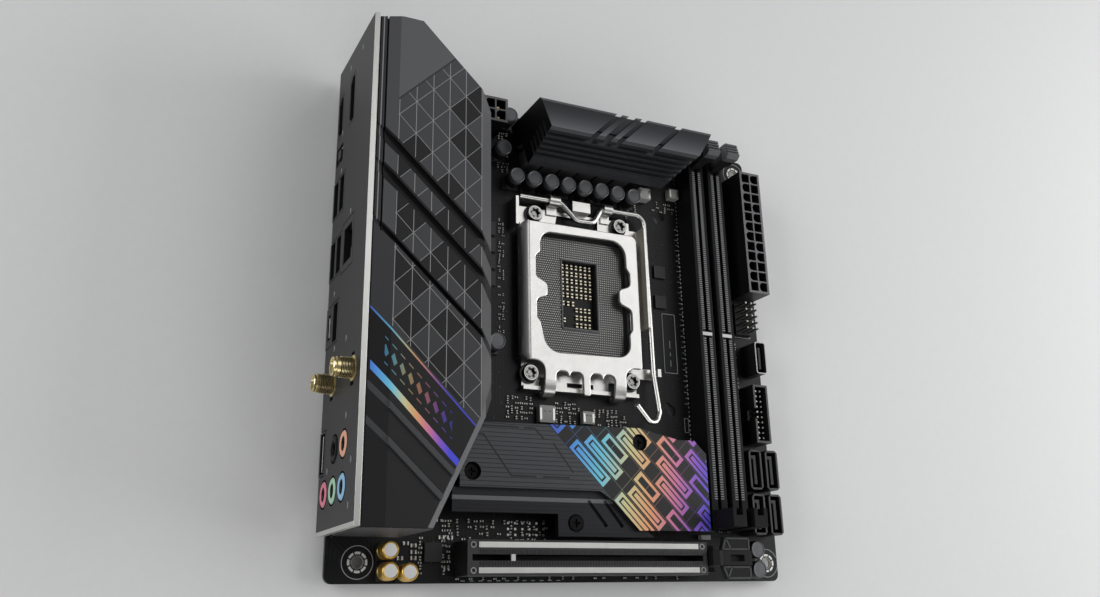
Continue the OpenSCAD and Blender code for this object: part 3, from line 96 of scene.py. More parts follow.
softbox("key_softbox", (420, 400, 700), (85, 90, 10), 0.55, 0.55, 1.2)
softbox("rear_softbox", (-700, 250, 420), (10, 90, 20), 0.7, 0.4, 3)
softbox("side_softbox", (760, 60, 330), (60, 90, 20), 0.6, 0.4, 2.6)
softbox("front_softbox", (120, -650, 500), (85, 60, 10), 0.9, 0.35, 1.6)
world = bpy.data.worlds.new("studio")
scene.world = world
world.use_nodes = True
world.node_tree.nodes["Background"].inputs["Color"].default_value = (0.78, 0.8, 0.83, 1)
world.node_tree.nodes["Background"].inputs["Strength"].default_value = 0.16


# Circuit board
# Glass-fibre board under near-black lacquer, with its copper tracks showing faintly through.
# It carries everything else, so it is the body that the fixed pieces ride on.
def paired(operation):
    """Method that puts a value and another one through a Math node."""
    return lambda self, other: self.math(operation, other)


class Shade:
    """One output socket of a material's nodes. Operators on it add Math nodes,
    and | gives the larger of two values."""

    def __init__(self, tree, socket):
        self.tree = tree
        self.socket = socket

    def node(self, kind, settings=None, values=None, output=0):
        """New node of a kind, with its settings set first and then its sockets' values or links."""
        made = self.tree.nodes.new("ShaderNode" + kind)
        for key, value in (settings or {}).items():
            if key == "stops":
                for place, _ in value[1:-1]:
                    made.color_ramp.elements.new(place)
                for stop, (place, colour) in zip(made.color_ramp.elements, value):
                    stop.position = place
                    stop.color = (*colour, 1)
            else:
                setattr(made, key, value)
        for key, value in (values or {}).items():
            if isinstance(value, Shade):
                self.tree.links.new(value.socket, made.inputs[key])
            else:
                made.inputs[key].default_value = value
        return Shade(self.tree, made.outputs[output])

    def math(self, operation, *others):
        """Math node on this value and others."""
        return self.node("Math", {"operation": operation}, dict(enumerate((self, *others))))

    def off_middle(self):
        """Distance of this value from the middle of its whole step, from 0 to 0.5."""
        return abs(self.math("FRACT") - 0.5)

    def near(self, middle, half):
        """1 within half a width of a middle value, and 0 elsewhere."""
        return abs(self - middle) < half

    def clamped(self):
        """This value kept between 0 and 1."""
        return self.math("MAXIMUM", 0.0).math("MINIMUM", 1.0)

    def __rsub__(self, other):
        return self.node("Math", {"operation": "SUBTRACT"}, {0: other, 1: self})

    def __abs__(self):
        return self.math("ABSOLUTE")

    __add__ = __radd__ = paired("ADD")
    __mul__ = __rmul__ = paired("MULTIPLY")
    __sub__ = paired("SUBTRACT")
    __truediv__ = paired("DIVIDE")
    __mod__ = paired("FLOORED_MODULO")
    __lt__ = paired("LESS_THAN")
    __gt__ = paired("GREATER_THAN")
    __or__ = paired("MAXIMUM")


def surface(name, paint, **fixed):
    """New material. The paint function gets the point in board millimetres, whole and as x, y, z, and
    returns colour, roughness and, where they vary too, normal and metal share.
    Fixed values are set directly."""
    material = bpy.data.materials.new(name)
    material.use_nodes = True
    tree = material.node_tree
    shader = tree.nodes["Principled BSDF"]
    for key, value in fixed.items():
        shader.inputs[key.replace("_", " ")].default_value = value
    spot = Shade(tree, tree.nodes.new("ShaderNodeTexCoord").outputs["Object"])
    spot = spot.node("VectorMath", {"operation": "SUBTRACT"}, {0: spot, 1: corner})
    spot = spot.node("VectorMath", {"operation": "SCALE"}, {0: spot, "Scale": 1 / MM})
    x, y, z = (spot.node("SeparateXYZ", None, {0: spot}, i) for i in range(3))
    for key, value in zip(("Base Color", "Roughness", "Normal", "Metallic"), paint(spot, x, y, z)):
        tree.links.new(value.socket, shader.inputs[key])
    return material


def grain(spot, scale, detail=3, stretch=(1, 1, 1)):
    """Noise from 0 to 1, with scale in waves per millimetre after the stretch."""
    pulled = spot.node("VectorMath", {"operation": "MULTIPLY"}, {0: spot, 1: stretch})
    return spot.node("TexNoise", None, {"Vector": pulled, "Scale": scale, "Detail": detail})


def tint(share, first, second):
    """Colour that goes from the first to the second as share goes from 0 to 1."""
    pair = [c if isinstance(c, Shade) else (*c, 1) for c in (first, second)]
    return share.node("Mix", {"data_type": "RGBA"}, {0: share, 6: pair[0], 7: pair[1]}, 2)


def layered(colour, *layers):
    """Colour under layers, each a share and the colour that it lays over what is below."""
    for share, over in layers:
        colour = tint(share, colour, over)
    return colour


def relief(height, depth, edge=0.0):
    """Normal of a surface raised by height times depth millimetres, with edges rounded to a radius."""
    values = {"Height": height, "Distance": depth * MM}
    if edge:
        values["Normal"] = height.node("Bevel", {"samples": 4}, {"Radius": edge * MM})
    return height.node("Bump", None, values)


standoffs = [(10.16, 6.35), (165.1, 6.35), (165.1, 163.83), (33.02, 163.83)]


def squared(u, v):
    """Square of a distance, from its parts along two axes."""
    return u * u + v * v


def lacquer_paint(spot, x, y, z):
    """Black lacquer over parallel tracks, whose direction and place change in patches.
    The walls of the standoff holes, nearest to their axes, are tinned."""
    patch = grain(spot, 0.045, 1)
    slant = (x + y) * 0.7071
    lane = (patch < 0.47) * x + (patch > 0.47) * (patch < 0.56) * slant + (patch > 0.56) * y
    track = (lane % 1.3).near(0.65, 0.26) * (grain(spot, 0.07, 2) > 0.47)
    holes = spot.node("TexVoronoi", None, {"Vector": spot, "Scale": 0.42})
    via = (holes < 0.16) * (grain(spot, 0.1, 1) > 0.5)
    hole = z > 1
    for cx, cy in standoffs:
        hole = hole | (squared(x - cx, y - cy) < 4.1)
    colour = layered(
        (0.0042, 0.0045, 0.0054),
        (track * 0.7, (0.0092, 0.0098, 0.0116)),
        (via * 0.6, (0.05, 0.048, 0.04)),
        ((z < -0.02) * (z > -1.58), (0.035, 0.034, 0.026)),
        (hole, (0.74, 0.72, 0.66)),
    )
    height = track * 0.5 + via * 0.3 + grain(spot, 6, 2) * 0.15
    return colour, 0.36 + 0.14 * grain(spot, 0.6, 4), relief(height, 0.03), hole * 0.9


def cover_node(name, material):
    """Puts a material on every slot of a CAD node."""
    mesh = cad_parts[name].data
    mesh.materials.clear()
    mesh.materials.append(material)


cover_node("pcb", surface("board_lacquer", lacquer_paint, Specular_IOR_Level=0.3))


def piece(name, shape, material, body="board", sharp=0.6):
    """New mesh from points in board millimetres and faces, which rides on a body.
    It is smooth apart from edges over sharp radians."""
    points, faces = shape
    mesh = bpy.data.meshes.new(name)
    mesh.from_pydata(metres(points).tolist(), [], [list(map(int, f)) for f in faces])
    mesh.polygons.foreach_set("use_smooth", np.ones(len(mesh.polygons), bool))
    mesh.set_sharp_from_angle(angle=sharp)
    mesh.materials.append(material)
    made = bpy.data.objects.new(name, mesh)
    scene.collection.objects.link(made)
    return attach(made, body)


def joined(*shapes):
    """Several shapes of points and faces as one."""
    starts = np.cumsum([0] + [len(points) for points, _ in shapes])
    faces = [[int(i) + int(s) for i in f] for (_, group), s in zip(shapes, starts) for f in group]
    return np.concatenate([points for points, _ in shapes]), faces


def unit(rows):
    """Vectors scaled to length 1."""
    return rows / np.maximum(np.linalg.norm(rows, axis=-1, keepdims=True), 1e-9)


def left_of(rows):
    """Vectors in a plane, turned a quarter turn to the left."""
    return rows[:, ::-1] * (-1, 1)


def copies(faces, count, step):
    """Faces of like shapes, each of which has its points a step after the one before."""
    return (faces + np.arange(count)[:, None, None] * step).reshape(-1, faces.shape[1])


def strokes(lines, width, z, thickness=0.05):
    """Flat bars of ink along lines of x0, y0, x1, y1, as boxes with square ends."""
    lines = np.asarray(lines, float)
    start, end = lines[:, :2], lines[:, 2:]
    aside = left_of(unit(end - start)) * width / 2
    ring = np.stack((start - aside, end - aside, end + aside, start + aside), 1)
    points = np.empty((len(lines), 8, 3))
    points[:, :, :2] = np.tile(ring, (2, 1))
    points[:, :, 2] = np.repeat((z, z + thickness), 4)
    quads = np.array(((4, 5, 6, 7), (0, 1, 5, 4), (1, 2, 6, 5), (2, 3, 7, 6), (3, 0, 4, 7)))
    return points.reshape(-1, 3), copies(quads, len(lines), 8)


def chain(corners):
    """Lines from each corner to the next."""
    return [(*p, *q) for p, q in zip(corners, corners[1:])]


def frame_lines(x0, y0, x1, y1):
    """Four lines round a rectangle."""
    return chain([(x0, y0), (x1, y0), (x1, y1), (x0, y1), (x0, y0)])


def spokes(angles):
    """Vectors of length 1 at angles: their cosines and sines."""
    return np.stack((np.cos(angles), np.sin(angles)), -1)


def circle_lines(x, y, r, count=48):
    """Short lines round a circle."""
    return chain((x, y) + r * spokes(np.linspace(0, 2 * np.pi, count + 1)))


def ink_paint(spot, x, y, z):
    """Thin printed ink, uneven and partly worn."""
    worn = grain(spot, 1.8, 4)
    return tint(worn, (0.24, 0.25, 0.27), (0.5, 0.51, 0.53)), 0.5 + 0.2 * worn


board_ink = surface("board_ink", ink_paint)
ink_lines = []
for hole in standoffs:
    ink_lines += [row for row in circle_lines(*hole, 4.95) if 0.3 < min(row[:2]) and max(row[:2]) < 169.7]
ink_lines += frame_lines(125.6, 75.4, 131.2, 98.6)
ink_lines += frame_lines(132.9, 53.2, 134.6, 58.4)
ink_lines += [(128.4, 78, 128.4, 80.4), (128.4, 82, 128.4, 83.4), (128.4, 85, 128.4, 88)]
for y in np.arange(100.4, 126, 6.4):
    ink_lines += [(51.5, y, 51.5, y + 6), (51.5, y, 53, y), (51.5, y + 6, 53, y + 6)]
ink_lines += [(133.6 + 0.4 * (i % 2), 64 + 2.2 * i, 135.2, 64 + 2.2 * i) for i in range(33)]
ink_lines += [(44 + 3.1 * i, 0.7, 45.4 + 3.1 * i, 0.7) for i in range(12)]
ink_lines += frame_lines(158.3, 92.6, 166.6, 106.4)
piece("board_print", strokes(ink_lines, 0.22, 0), board_ink)


def grid_faces(rows, columns, closed):
    """Quads between the rows of a grid of points; a closed grid joins its last column to its first."""
    i = np.arange(rows - 1)[:, None] * columns
    j = np.arange(columns if closed else columns - 1)
    k = (j + 1) % columns
    corners = np.broadcast_arrays(i + j, i + k, i + columns + k, i + columns + j)
    return np.stack(corners, -1).reshape(-1, 4)


def repeat(points, faces, places):
    """Copies of one shape, shifted to each place."""
    shifted = points + np.asarray(places, float)[:, None]
    return shifted.reshape(-1, 3), copies(faces, len(places), len(points))


def raised(rows, z):
    """Rows of two numbers with a third beside them."""
    return np.column_stack((rows, np.full(len(rows), z)))


def metal(name, colour, rough, fine=2.2, stretch=(1, 1, 1), edge=0.12, depth=0.012, **fixed):
    """Bare or plated metal: fine scratches vary its gloss, and its edges are rounded."""

    def paint(spot, x, y, z):
        scratch = grain(spot, fine, 5, stretch)
        stained = tint(grain(spot, 0.25, 3), tuple(0.82 * c for c in colour), colour)
        return stained, rough * 0.7 + rough * 0.6 * scratch, relief(scratch, depth, edge)

    return surface(name, paint, **{"Metallic": 1.0} | fixed)


tin = metal("tinned_copper", (0.78, 0.77, 0.74), 0.3)
ring_low, ring_high, ring_gap = 2.45, 3.2, 0.16
turn = np.arange(8)[:, None] * np.pi / 4 + np.linspace(-0.5, 0.5, 6) * (np.pi / 4 - ring_gap)
edges = spokes(turn)[:, :, None] * ((ring_low,), (ring_high,))
segments = raised(edges.reshape(-1, 2), 0.06), copies(grid_faces(6, 2, False)[:, ::-1], 8, 12)
pad_tin = metal("pad_tin", (0.84, 0.83, 0.81), 0.4, Metallic=0.4)
piece("standoff_pads", repeat(*segments, raised(standoffs, 0)), pad_tin)


# Small parts on the board
# Ceramic capacitors and resistors, each a dark block with a tinned cap at either end,
# soldered in rows and loose groups round the larger pieces.
def blocks(middles, sizes, chamfer=0.1):
    """Boxes standing on their middles, with the upper edges cut back: three rings of four corners each."""
    middles = np.asarray(middles, float)
    sizes = np.broadcast_to(np.asarray(sizes, float), middles.shape)
    ring = np.array(((-1, -1), (1, -1), (1, 1), (-1, 1))) / 2
    z, h = middles[:, 2], sizes[:, 2]
    points = np.empty((len(middles), 12, 3))
    for row, cut in enumerate((0, 0, chamfer)):
        points[:, 4 * row : 4 * row + 4, :2] = middles[:, None, :2] + ring * (sizes[:, None, :2] - 2 * cut)
    points[:, :, 2] = np.repeat(np.stack((z, z + h - chamfer, z + h), 1), 4, 1)
    quads = np.concatenate((grid_faces(3, 4, True), [(8, 9, 10, 11), (3, 2, 1, 0)]))
    return points.reshape(-1, 3), copies(quads, len(middles), 12)


dice = np.random.default_rng(7)


def scattered(x0, y0, x1, y1, dx, dy, share, long):
    """Places on a loose grid, some left out, as x, y, length along X and length along Y."""
    gx, gy = np.meshgrid(np.arange(x0, x1, dx), np.arange(y0, y1, dy))
    spots = np.stack((gx.ravel(), gy.ravel()), 1)
    spots = spots[dice.random(len(spots)) < share]
    spots = spots + dice.uniform(-0.12, 0.12, spots.shape) * (dx, dy)
    flat = dice.random(len(spots)) < 0.5
    size = np.where(flat[:, None], (long, long * 0.52), (long * 0.52, long))
    return np.concatenate((spots, size), 1)


part_fields = [
    (60.5, 54.5, 70.8, 62.4, 1.75, 1.7, 0.85, 1.15),
    (79.2, 54, 88, 61.6, 1.75, 1.6, 0.75, 1.1),
    (94.6, 53.6, 107, 60.4, 1.75, 1.7, 0.8, 1.15),
    (57.6, 84.6, 60.4, 128, 1.5, 1.5, 0.7, 0.9),
    (40.4, 13.6, 76, 20.6, 2.1, 1.9, 0.55, 1.2),
    (30.2, 3.2, 31, 14.6, 1.6, 1.5, 0.8, 1.2),
    (38, 3.4, 41.4, 21, 1.7, 1.6, 0.75, 1.2),
    (124.2, 141, 136, 145.6, 1.8, 1.6, 0.6, 1.1),
    (112.4, 138, 116, 142.4, 1.6, 1.6, 0.8, 1.2),
    (152.6, 62, 158.4, 92, 1.9, 1.7, 0.5, 1.1),
    (152.6, 30, 153.8, 60, 1.6, 1.7, 0.5, 1),
    (57.4, 146.5, 61, 163, 1.7, 1.7, 0.75, 1.3),
    (43, 1.4, 126, 1.9, 4.1, 1, 0.8, 1),
    (138.2, 17.4, 151, 20.4, 1.8, 1.6, 0.5, 1.1),
    (108, 136, 112, 139.6, 1.7, 1.6, 0.6, 1),
]
large_at = [
    (27.9, 11.5), (28, 9.5), (28, 7.7), (25.4, 12.1), (37.2, 14.1), (40.1, 14.1), (39.1, 4.5), (23.6, 7.6),
]
large_parts = [(x, y, 2.0, 1.2) for x, y in large_at]
parts = np.concatenate([scattered(*field) for field in part_fields] + [large_parts])
flat = parts[:, 2] > parts[:, 3]
body_size = np.where(flat[:, None], parts[:, 2:] * (0.5, 0.94), parts[:, 2:] * (0.94, 0.5))


def ceramic_paint(spot, x, y, z):
    """Fired ceramic, whose brown or grey changes from part to part."""
    batch = spot.node("TexVoronoi", None, {"Vector": spot, "Scale": 0.6}, 1)
    shade = batch.node("SeparateColor", None, {0: batch})
    colour = tint(shade > 0.55, (0.022, 0.022, 0.024), (0.2, 0.15, 0.095))
    return colour, 0.42 + 0.2 * grain(spot, 5, 2), relief(grain(spot, 9, 2), 0.02)


ceramic = surface("fired_ceramic", ceramic_paint)
piece("small_part_bodies", blocks(raised(parts[:, :2], 0), raised(body_size, 0.5), 0.06), ceramic)


def end_caps(spots, lengths, lies_flat, height, share=0.28):
    """Two caps for each part, at the ends of its longer side."""
    reach = np.where(lies_flat[:, None], lengths * (0.5 - share / 2, 0), lengths * (0, 0.5 - share / 2))
    size = np.where(lies_flat[:, None], lengths * (share, 1), lengths * (1, share))
    both = np.concatenate((spots - reach, spots + reach))
    return raised(both, 0), raised(np.tile(size, (2, 1)), height)


piece("small_part_caps", blocks(*end_caps(parts[:, :2], parts[:, 2:], flat, 0.54), 0.06), tin)
pad_rows = [(60.6 + 2.6 * i, 15.2 + 1.9 * j, 0) for i in range(6) for j in range(3)]
pad_rows += [(24.5 + 1.6 * i, 19.4, 0) for i in range(9)]
piece("test_pads", blocks(pad_rows, (0.75, 0.75, 0.12), 0.05), tin)


# Chips, shielded inductors and power parts
# Black moulded chips, light grey pressed inductors with a metal strap at each end,
# and the chokes and switches hidden below the finned heatsink.
def resin(name, colour, rough, edge=0.15, fine=1.4, depth=0.03, **fixed):
    """Moulded resin: a fine spark-eroded texture, uneven gloss and rounded edges."""

    def paint(spot, x, y, z):
        texture = grain(spot, fine * 3, 3)
        patch = grain(spot, 0.12, 3)
        pale = tuple(1.35 * c + 0.002 for c in colour)
        return tint(patch, colour, pale), rough - 0.08 + 0.18 * texture, relief(texture, depth, edge)

    return surface(name, paint, **fixed)


chip_resin = resin("chip_resin", (0.011, 0.011, 0.012), 0.46)
cover_node("chips", chip_resin)
cover_node("power_stages", chip_resin)
pressed_powder = resin("pressed_powder", (0.36, 0.36, 0.34), 0.55, 0.3, 2, 0.06)
cover_node("inductors", pressed_powder)
cover_node("power_chokes", resin("choke_powder", (0.05, 0.05, 0.052), 0.6))
cover_node("cmos_battery", resin("battery_sleeve", (0.02, 0.021, 0.023), 0.5))
cover_node("thermal_pads", resin("thermal_pad", (0.2, 0.21, 0.23), 0.8))
cover_node("solder_tails", tin)
inductor_tops = [
    (74.6, 55.9, 2.8, 6, 6), (91.1, 55.65, 2.4, 4.6, 4.5),
    (118.6, 146, 4, 4.8, 4.6), (132.7, 148.6, 3, 4.2, 4),
]
sides = (-1, 1)
straps = []
for x, y, z, w, d in inductor_tops:
    straps += [(x + side * (w / 2 - 0.5), y, 0, 0.9, d * 0.72, z + 0.05) for side in sides]
piece("inductor_straps", blocks(*np.split(np.array(straps), 2, 1), 0.08), tin)
dots = [(x + side * 0.15 * w, y + 0.16 * d, z) for x, y, z, w, d in inductor_tops[:2] for side in sides]
piece("inductor_marks", blocks(dots, (0.9, 0.25, 0.04), 0.01), chip_resin)


# Silicon under the drive heatsink, and the radio can under the rear cover
# Neither shows much: one is a bare die on its substrate, the other a folded tin can.
cover_node("chipset", resin("chip_substrate", (0.02, 0.05, 0.06), 0.3))
cover_node("wifi_module", metal("radio_can", (0.6, 0.6, 0.58), 0.35))
cover_node("m2_socket", chip_resin)


# Round capacitors
# Lacquered aluminium cans crimped onto a square plastic foot, with a rolled upper rim.
# The three for the sound circuit are gold with a bare silver top.
def lathe(profile, steps=40):
    """Profile of radius and height turned once round Z: a grid of profile points by steps.
    A radius may be a row of its own, with one value for each step."""
    around = spokes(np.linspace(0, 2 * np.pi, steps, endpoint=False))
    rings = [raised(np.reshape(r, (-1, 1)) * around, h) for r, h in profile]
    return np.concatenate(rings), grid_faces(len(profile), steps, True)


def can_profile(r, h, foot):
    """Foot, crimp, straight wall, rolled rim and a slightly sunk top."""
    return [
        (0.001, foot), (r * 0.94, foot), (r * 0.97, foot + 0.35), (r * 0.86, foot + 0.7),
        (r * 0.88, foot + 1.05), (r * 0.985, foot + 1.4), (r * 0.985, h - 0.6), (r * 0.94, h - 0.18),
        (r * 0.86, h), (r * 0.78, h - 0.02), (r * 0.73, h - 0.14), (r * 0.4, h - 0.12), (0.001, h - 0.12),
    ]


cap_r, cap_h, low_cap_h, foot_h = 3.1, 8.0, 6.0, 0.9


def dark_can_paint(spot, x, y, z):
    """Dark lacquer on the wall and a brushed, paler top."""
    top = z > low_cap_h - 0.25
    scratch = grain(spot, 3, 4, (1, 0.15, 1))
    base = tint(scratch, (0.09, 0.092, 0.098), (0.145, 0.147, 0.156))
    return tint(top, (0.014, 0.0145, 0.016), base), 0.34 + 0.16 * scratch, relief(scratch, 0.01)


tall_caps = [(61.9 + 7.03 * i, 142.3, 0) for i in range(8)]
tall_caps += [(59.3, 166.4, 0), (56.8, 152.8, 0), (53.8, 79, 0)]
low_caps = [(157.4, 10.9, 0), (157.6, 3.9, 0)]
tall_can, low_can = (lathe(can_profile(cap_r, h, foot_h)) for h in (cap_h, low_cap_h))
cans = joined(repeat(*tall_can, tall_caps), repeat(*low_can, low_caps))
dark_cans = piece("dark_capacitor_cans", cans, surface("dark_can", dark_can_paint, Metallic=0.6))
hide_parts("polymer_capacitors")


def foot_shape(r, h):
    """Square foot with two corners cut, as an outline carried straight up."""
    c = r * 0.45
    ring = np.array(((-r, -r), (r, -r), (r, r - c), (r - c, r), (c - r, r), (-r, r - c)))
    points = np.concatenate([raised(ring, z) for z in (0, h)])
    return points, np.concatenate((grid_faces(2, 6, True), [(8, 9, 10, 11), (6, 7, 8, 11)]))


piece("capacitor_feet", repeat(*foot_shape(cap_r, foot_h), tall_caps + low_caps), chip_resin)
sound_cap_r, sound_cap_h = 2.8, 7.0
sound_caps = [(18.6, 9.7, 0), (18.8, 3.5, 0), (25, 3.2, 0)]


def gold_can_paint(spot, x, y, z):
    """Gold lacquer with a bare silver disc on each top."""
    scratch = grain(spot, 2, 4)
    disc = z < 0
    for cx, cy, _ in sound_caps:
        disc = disc | (squared(x - cx, y - cy) < 4.1) * (z > sound_cap_h - 0.3)
    colour = tint(disc, tint(scratch, (0.62, 0.37, 0.06), (0.82, 0.56, 0.15)), (0.88, 0.87, 0.86))
    return colour, 0.26 + 0.16 * scratch, relief(scratch, 0.008), 0.85 - 0.5 * disc


sound_can = lathe(can_profile(sound_cap_r, sound_cap_h, foot_h))
gold_cans = piece("gold_capacitor_cans", repeat(*sound_can, sound_caps), surface("gold_can", gold_can_paint))
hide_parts("audio_capacitors")
piece("gold_capacitor_feet", repeat(*foot_shape(sound_cap_r, foot_h), sound_caps), chip_resin)


# Finned heatsink
# One anodised aluminium extrusion with fins cut along its front and slashes across its top,
# screwed from below through the board.
def anodised_paint(spot, x, y, z):
    """Brushed and anodised aluminium: long scratches along the length, with painted light and shade: a top
    that pales towards its ridge as a painted highlight, a painted highlight on the far chamfer and on the
    lower lip below the darker fins and slashes, and painted shade on the left end."""
    brush = grain(spot, 7, 4, (0.03, 1, 1))
    # Painted shade: the left end is painted near black.
    end = (sink_left - x) * 0.9714 - (y - sink_far) * 0.2375 > -0.08
    # Painted highlight: the top pales towards its ridge at the front edge.
    near = ((sink_far - 1.4 - y) / 10.6).clamped()
    face = tint(near * near, (0.045, 0.0465, 0.051), (0.21, 0.215, 0.228))
    # Painted highlight: below the lip the metal is painted paler than the fins.
    fins = tint(z < sink_lip, (0.05, 0.0515, 0.056), (0.1, 0.1025, 0.11))
    colour = layered(
        fins,
        (z > sink_top - 2.05, face),
        # Painted highlight on the far chamfer.
        ((y > sink_far - 1.38) * (z > sink_top - 3.1), (0.16, 0.164, 0.174)),
        (brush * 0.3, (0.1, 0.103, 0.11)),
        (end, (0.01, 0.01, 0.011)),
    )
    return colour, 0.4 + 0.16 * brush, relief(brush, 0.02, 0.25)


(sink_left, _, _), (_, sink_far, sink_top) = map(on_board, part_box("vrm_heatsink"))
sink_lip = 12.6
cover_node("vrm_heatsink", surface("finned_anodised", anodised_paint, Metallic=0.7))
black_oxide = metal("black_oxide", (0.05, 0.05, 0.053), 0.42, Metallic=0.7)
cover_node("heatsink_screws", black_oxide)
cover_node("socket_backplate", black_oxide)


# Processor socket
# A moulded frame holds a dense field of sprung contacts round an open well full of capacitors.
# A plated steel frame is screwed round it through the board into the backplate.
socket_x, socket_y = 88.5, 100.0
cover_node("socket_body", resin("socket_resin", (0.016, 0.016, 0.017), 0.42))
contact_pitch = 0.86


def contact_paint(spot, x, y, z):
    """Rows of bright sprung tips in dark pockets, turned the other way in two of the four quarters."""
    u, v = x - socket_x, y - socket_y
    left = ((u < -6.9) * (v < 13.6) + (v < -12.5) * (u < 7.3)).math("MINIMUM", 1)
    row = u * (1 - left) + (u + 0.5 * v) * left
    a = abs(row % contact_pitch / contact_pitch - 0.5)
    b = abs(v % (contact_pitch * 1.02) / contact_pitch - 0.5)
    tip = (a < 0.27) * (b < 0.2)
    wall = (a > 0.42) | (b > 0.43)
    colour = tint(tip, tint(wall, (0.022, 0.022, 0.022), (0.085, 0.085, 0.083)), (0.4, 0.4, 0.38))
    return colour, 0.45 - 0.15 * tip, relief(tip + wall * 0.6, 0.12), tip * 0.9


cover_node("socket_contacts", surface("contact_field", contact_paint))
well_border = frame_lines(socket_x - 7.25, socket_y - 12.4, socket_x + 7.65, socket_y + 13.9)
border_resin = resin("border_resin", (0.11, 0.11, 0.115), 0.4)
piece("well_border", strokes(well_border, 0.5, 2.4, 0.75), border_resin)
upper = [(socket_x - 5.7 + 1.9 * i, socket_y + 12 - 2.75 * j) for i in range(7) for j in range(5)]
lower = [(socket_x - 0.2 + 1.75 * i, socket_y - 4.4 - 2.9 * j) for i in range(4) for j in range(3)]
lower += [(socket_x - 5.6 + 2 * i, socket_y - 2.2) for i in range(3)] + [(socket_x - 5.2, socket_y - 8.6)]
well_parts = np.array(upper + lower)
well_size = np.broadcast_to((0.95, 1.75), well_parts.shape)
upright_parts = np.zeros(len(well_parts), bool)
piece("well_capacitor_bodies", blocks(raised(well_parts, 0), (0.9, 0.9, 0.74), 0.08), chip_resin)
warm_tin = metal("warm_tin", (0.88, 0.8, 0.6), 0.32, Metallic=0.85)
cap_blocks = blocks(*end_caps(well_parts, well_size, upright_parts, 0.8, 0.34), 0.08)
well_caps = piece("well_capacitor_caps", cap_blocks, warm_tin)
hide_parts("socket_capacitors")

guard_x = socket_x + 26.6
guard_top = 7.6


def frame_paint(spot, x, y, z):
    """Bright plated sheet, with the upright wall beside the lever painted olive below its bright edge: a
    painted reflection in shade.
    """
    scratch = grain(spot, 1.2, 4)
    stain = grain(spot, 0.25, 3)
    wall = x.near(guard_x, 0.5) * (z > 1.7) * (z < guard_top - 0.3)
    steel = tint(stain, (0.6, 0.59, 0.565), (0.8, 0.79, 0.765))
    # Painted reflection in shade: the wall's face is painted olive and made less metallic.
    colour = tint(wall, steel, (0.4, 0.376, 0.31))
    return colour, 0.24 + 0.14 * scratch, relief(scratch, 0.004, 0.15), 1 - 0.75 * wall


cover_node("socket_frame", surface("plated_steel", frame_paint))


def screw_heads(places, radius, height, recess, depth, lobes, swell):
    """Head on a polar grid: a lobed recess, a flat land, a rounded rim and a wall.
    The recess radius is recess times 1 plus swell times the cosine of lobes turns."""
    a = np.linspace(0, 2 * np.pi, 48, endpoint=False)
    star = recess * (1 + swell * np.cos(lobes * a))
    rings = [
        (0.001, height - depth), (star * 0.94, height - depth), (star, height), (0.84 * radius, height),
        (0.95 * radius, height - 0.12 * radius), (radius, height - 0.3 * radius), (radius, 0),
    ]
    points, faces = lathe(rings, len(a))
    return repeat(points, faces[:, ::-1], places)


def driven_paint(places, recess, groove, top):
    """Paint function of plated screw heads, with painted light and shade: painted shade in black on the
    recess's walls and in a ring round each head, a darker grey on the recess's floor and on the land beside
    it than on the rounded rim, as painted shade, and dark on the flange outside the ring: dark steel with
    painted shade."""

    def paint(spot, x, y, z):
        scratch = grain(spot, 3, 5)
        reach = z * 0 + 99
        for cx, cy, _ in places:
            reach = reach.math("MINIMUM", squared(x - cx, y - cy).math("SQRT"))
        # Painted shade: black on the recess's walls and in the ring round each head.
        dark = (reach < recess) * (z < top) | reach.near(groove, 0.18)
        dark = dark * (reach > 0.62 * recess)
        colour = layered(
            tint(scratch, (0.5, 0.495, 0.48), (0.74, 0.73, 0.7)),
            # Painted shade: the land and the recess's floor are darker than the rounded rim.
            (reach < 0.85 * groove, (0.3, 0.296, 0.285)),
            # Dark steel with painted shade on the flange.
            (reach > groove, (0.16, 0.157, 0.15)),
            (dark, (0.008, 0.008, 0.008)),
        )
        return colour, 0.2 + 0.12 * scratch, relief(scratch, 0.006, 0.1), 1 - 0.6 * dark

    return paint


screw_rows = [(20.5, -30.2), (17.9, 30.2)]
socket_screws = [(socket_x + side * u, socket_y + v, 1.62) for side in sides for u, v in screw_rows]
flange = [(2.86, 0.8), (3.3, 0.76), (3.6, 0.55), (3.6, 0.0)]
heads = screw_heads(socket_screws, radius=2.85, height=2.66, recess=1.7, depth=1.1, lobes=6, swell=0.2)
screw_steel = surface("screw_steel", driven_paint(socket_screws, recess=2.06, groove=2.86, top=4.24))
piece("socket_screw_heads", joined(heads, repeat(*lathe(flange), socket_screws)), screw_steel)
cover_node("socket_screws", screw_steel)


# Load plate
# Bright plated steel sheet with a shaped window. Its left flank rolls down beside the socket,
# and its front edge has round relief notches and two legs that curl into the hinge.
def rounded(corners, radii, steps=7):
    """Path through corners in which an arc of its radius replaces each one, by turning one spoke of the
    arc into the other. A corner without a radius stays."""
    corners = np.asarray(corners, float)
    made = []
    for p, c, q, r in zip(np.roll(corners, 1, 0), corners, np.roll(corners, -1, 0), radii):
        if r == 0:
            made.append(c[None])
            continue
        u, v = unit(p - c), unit(q - c)
        half = np.arccos(np.clip(u @ v, -1, 1)) / 2
        centre = c + unit(u + v) * r / np.sin(half)
        first, last = c + u * r / np.tan(half) - centre, c + v * r / np.tan(half) - centre
        total = np.pi - 2 * half
        a = total * np.linspace(0, 1, steps)[:, None]
        made.append(centre + (first * np.sin(total - a) + last * np.sin(a)) / np.sin(total))
    return np.concatenate(made)


def moved_in(loop, distance):
    """Loop moved to its left by a distance, along the mean of the normals of its two edges."""
    before = left_of(unit(loop - np.roll(loop, 1, 0)))
    after = np.roll(before, -1, 0)
    return loop + (before + after) * distance / np.maximum(1 + (before * after).sum(1), 0.4)[:, None]


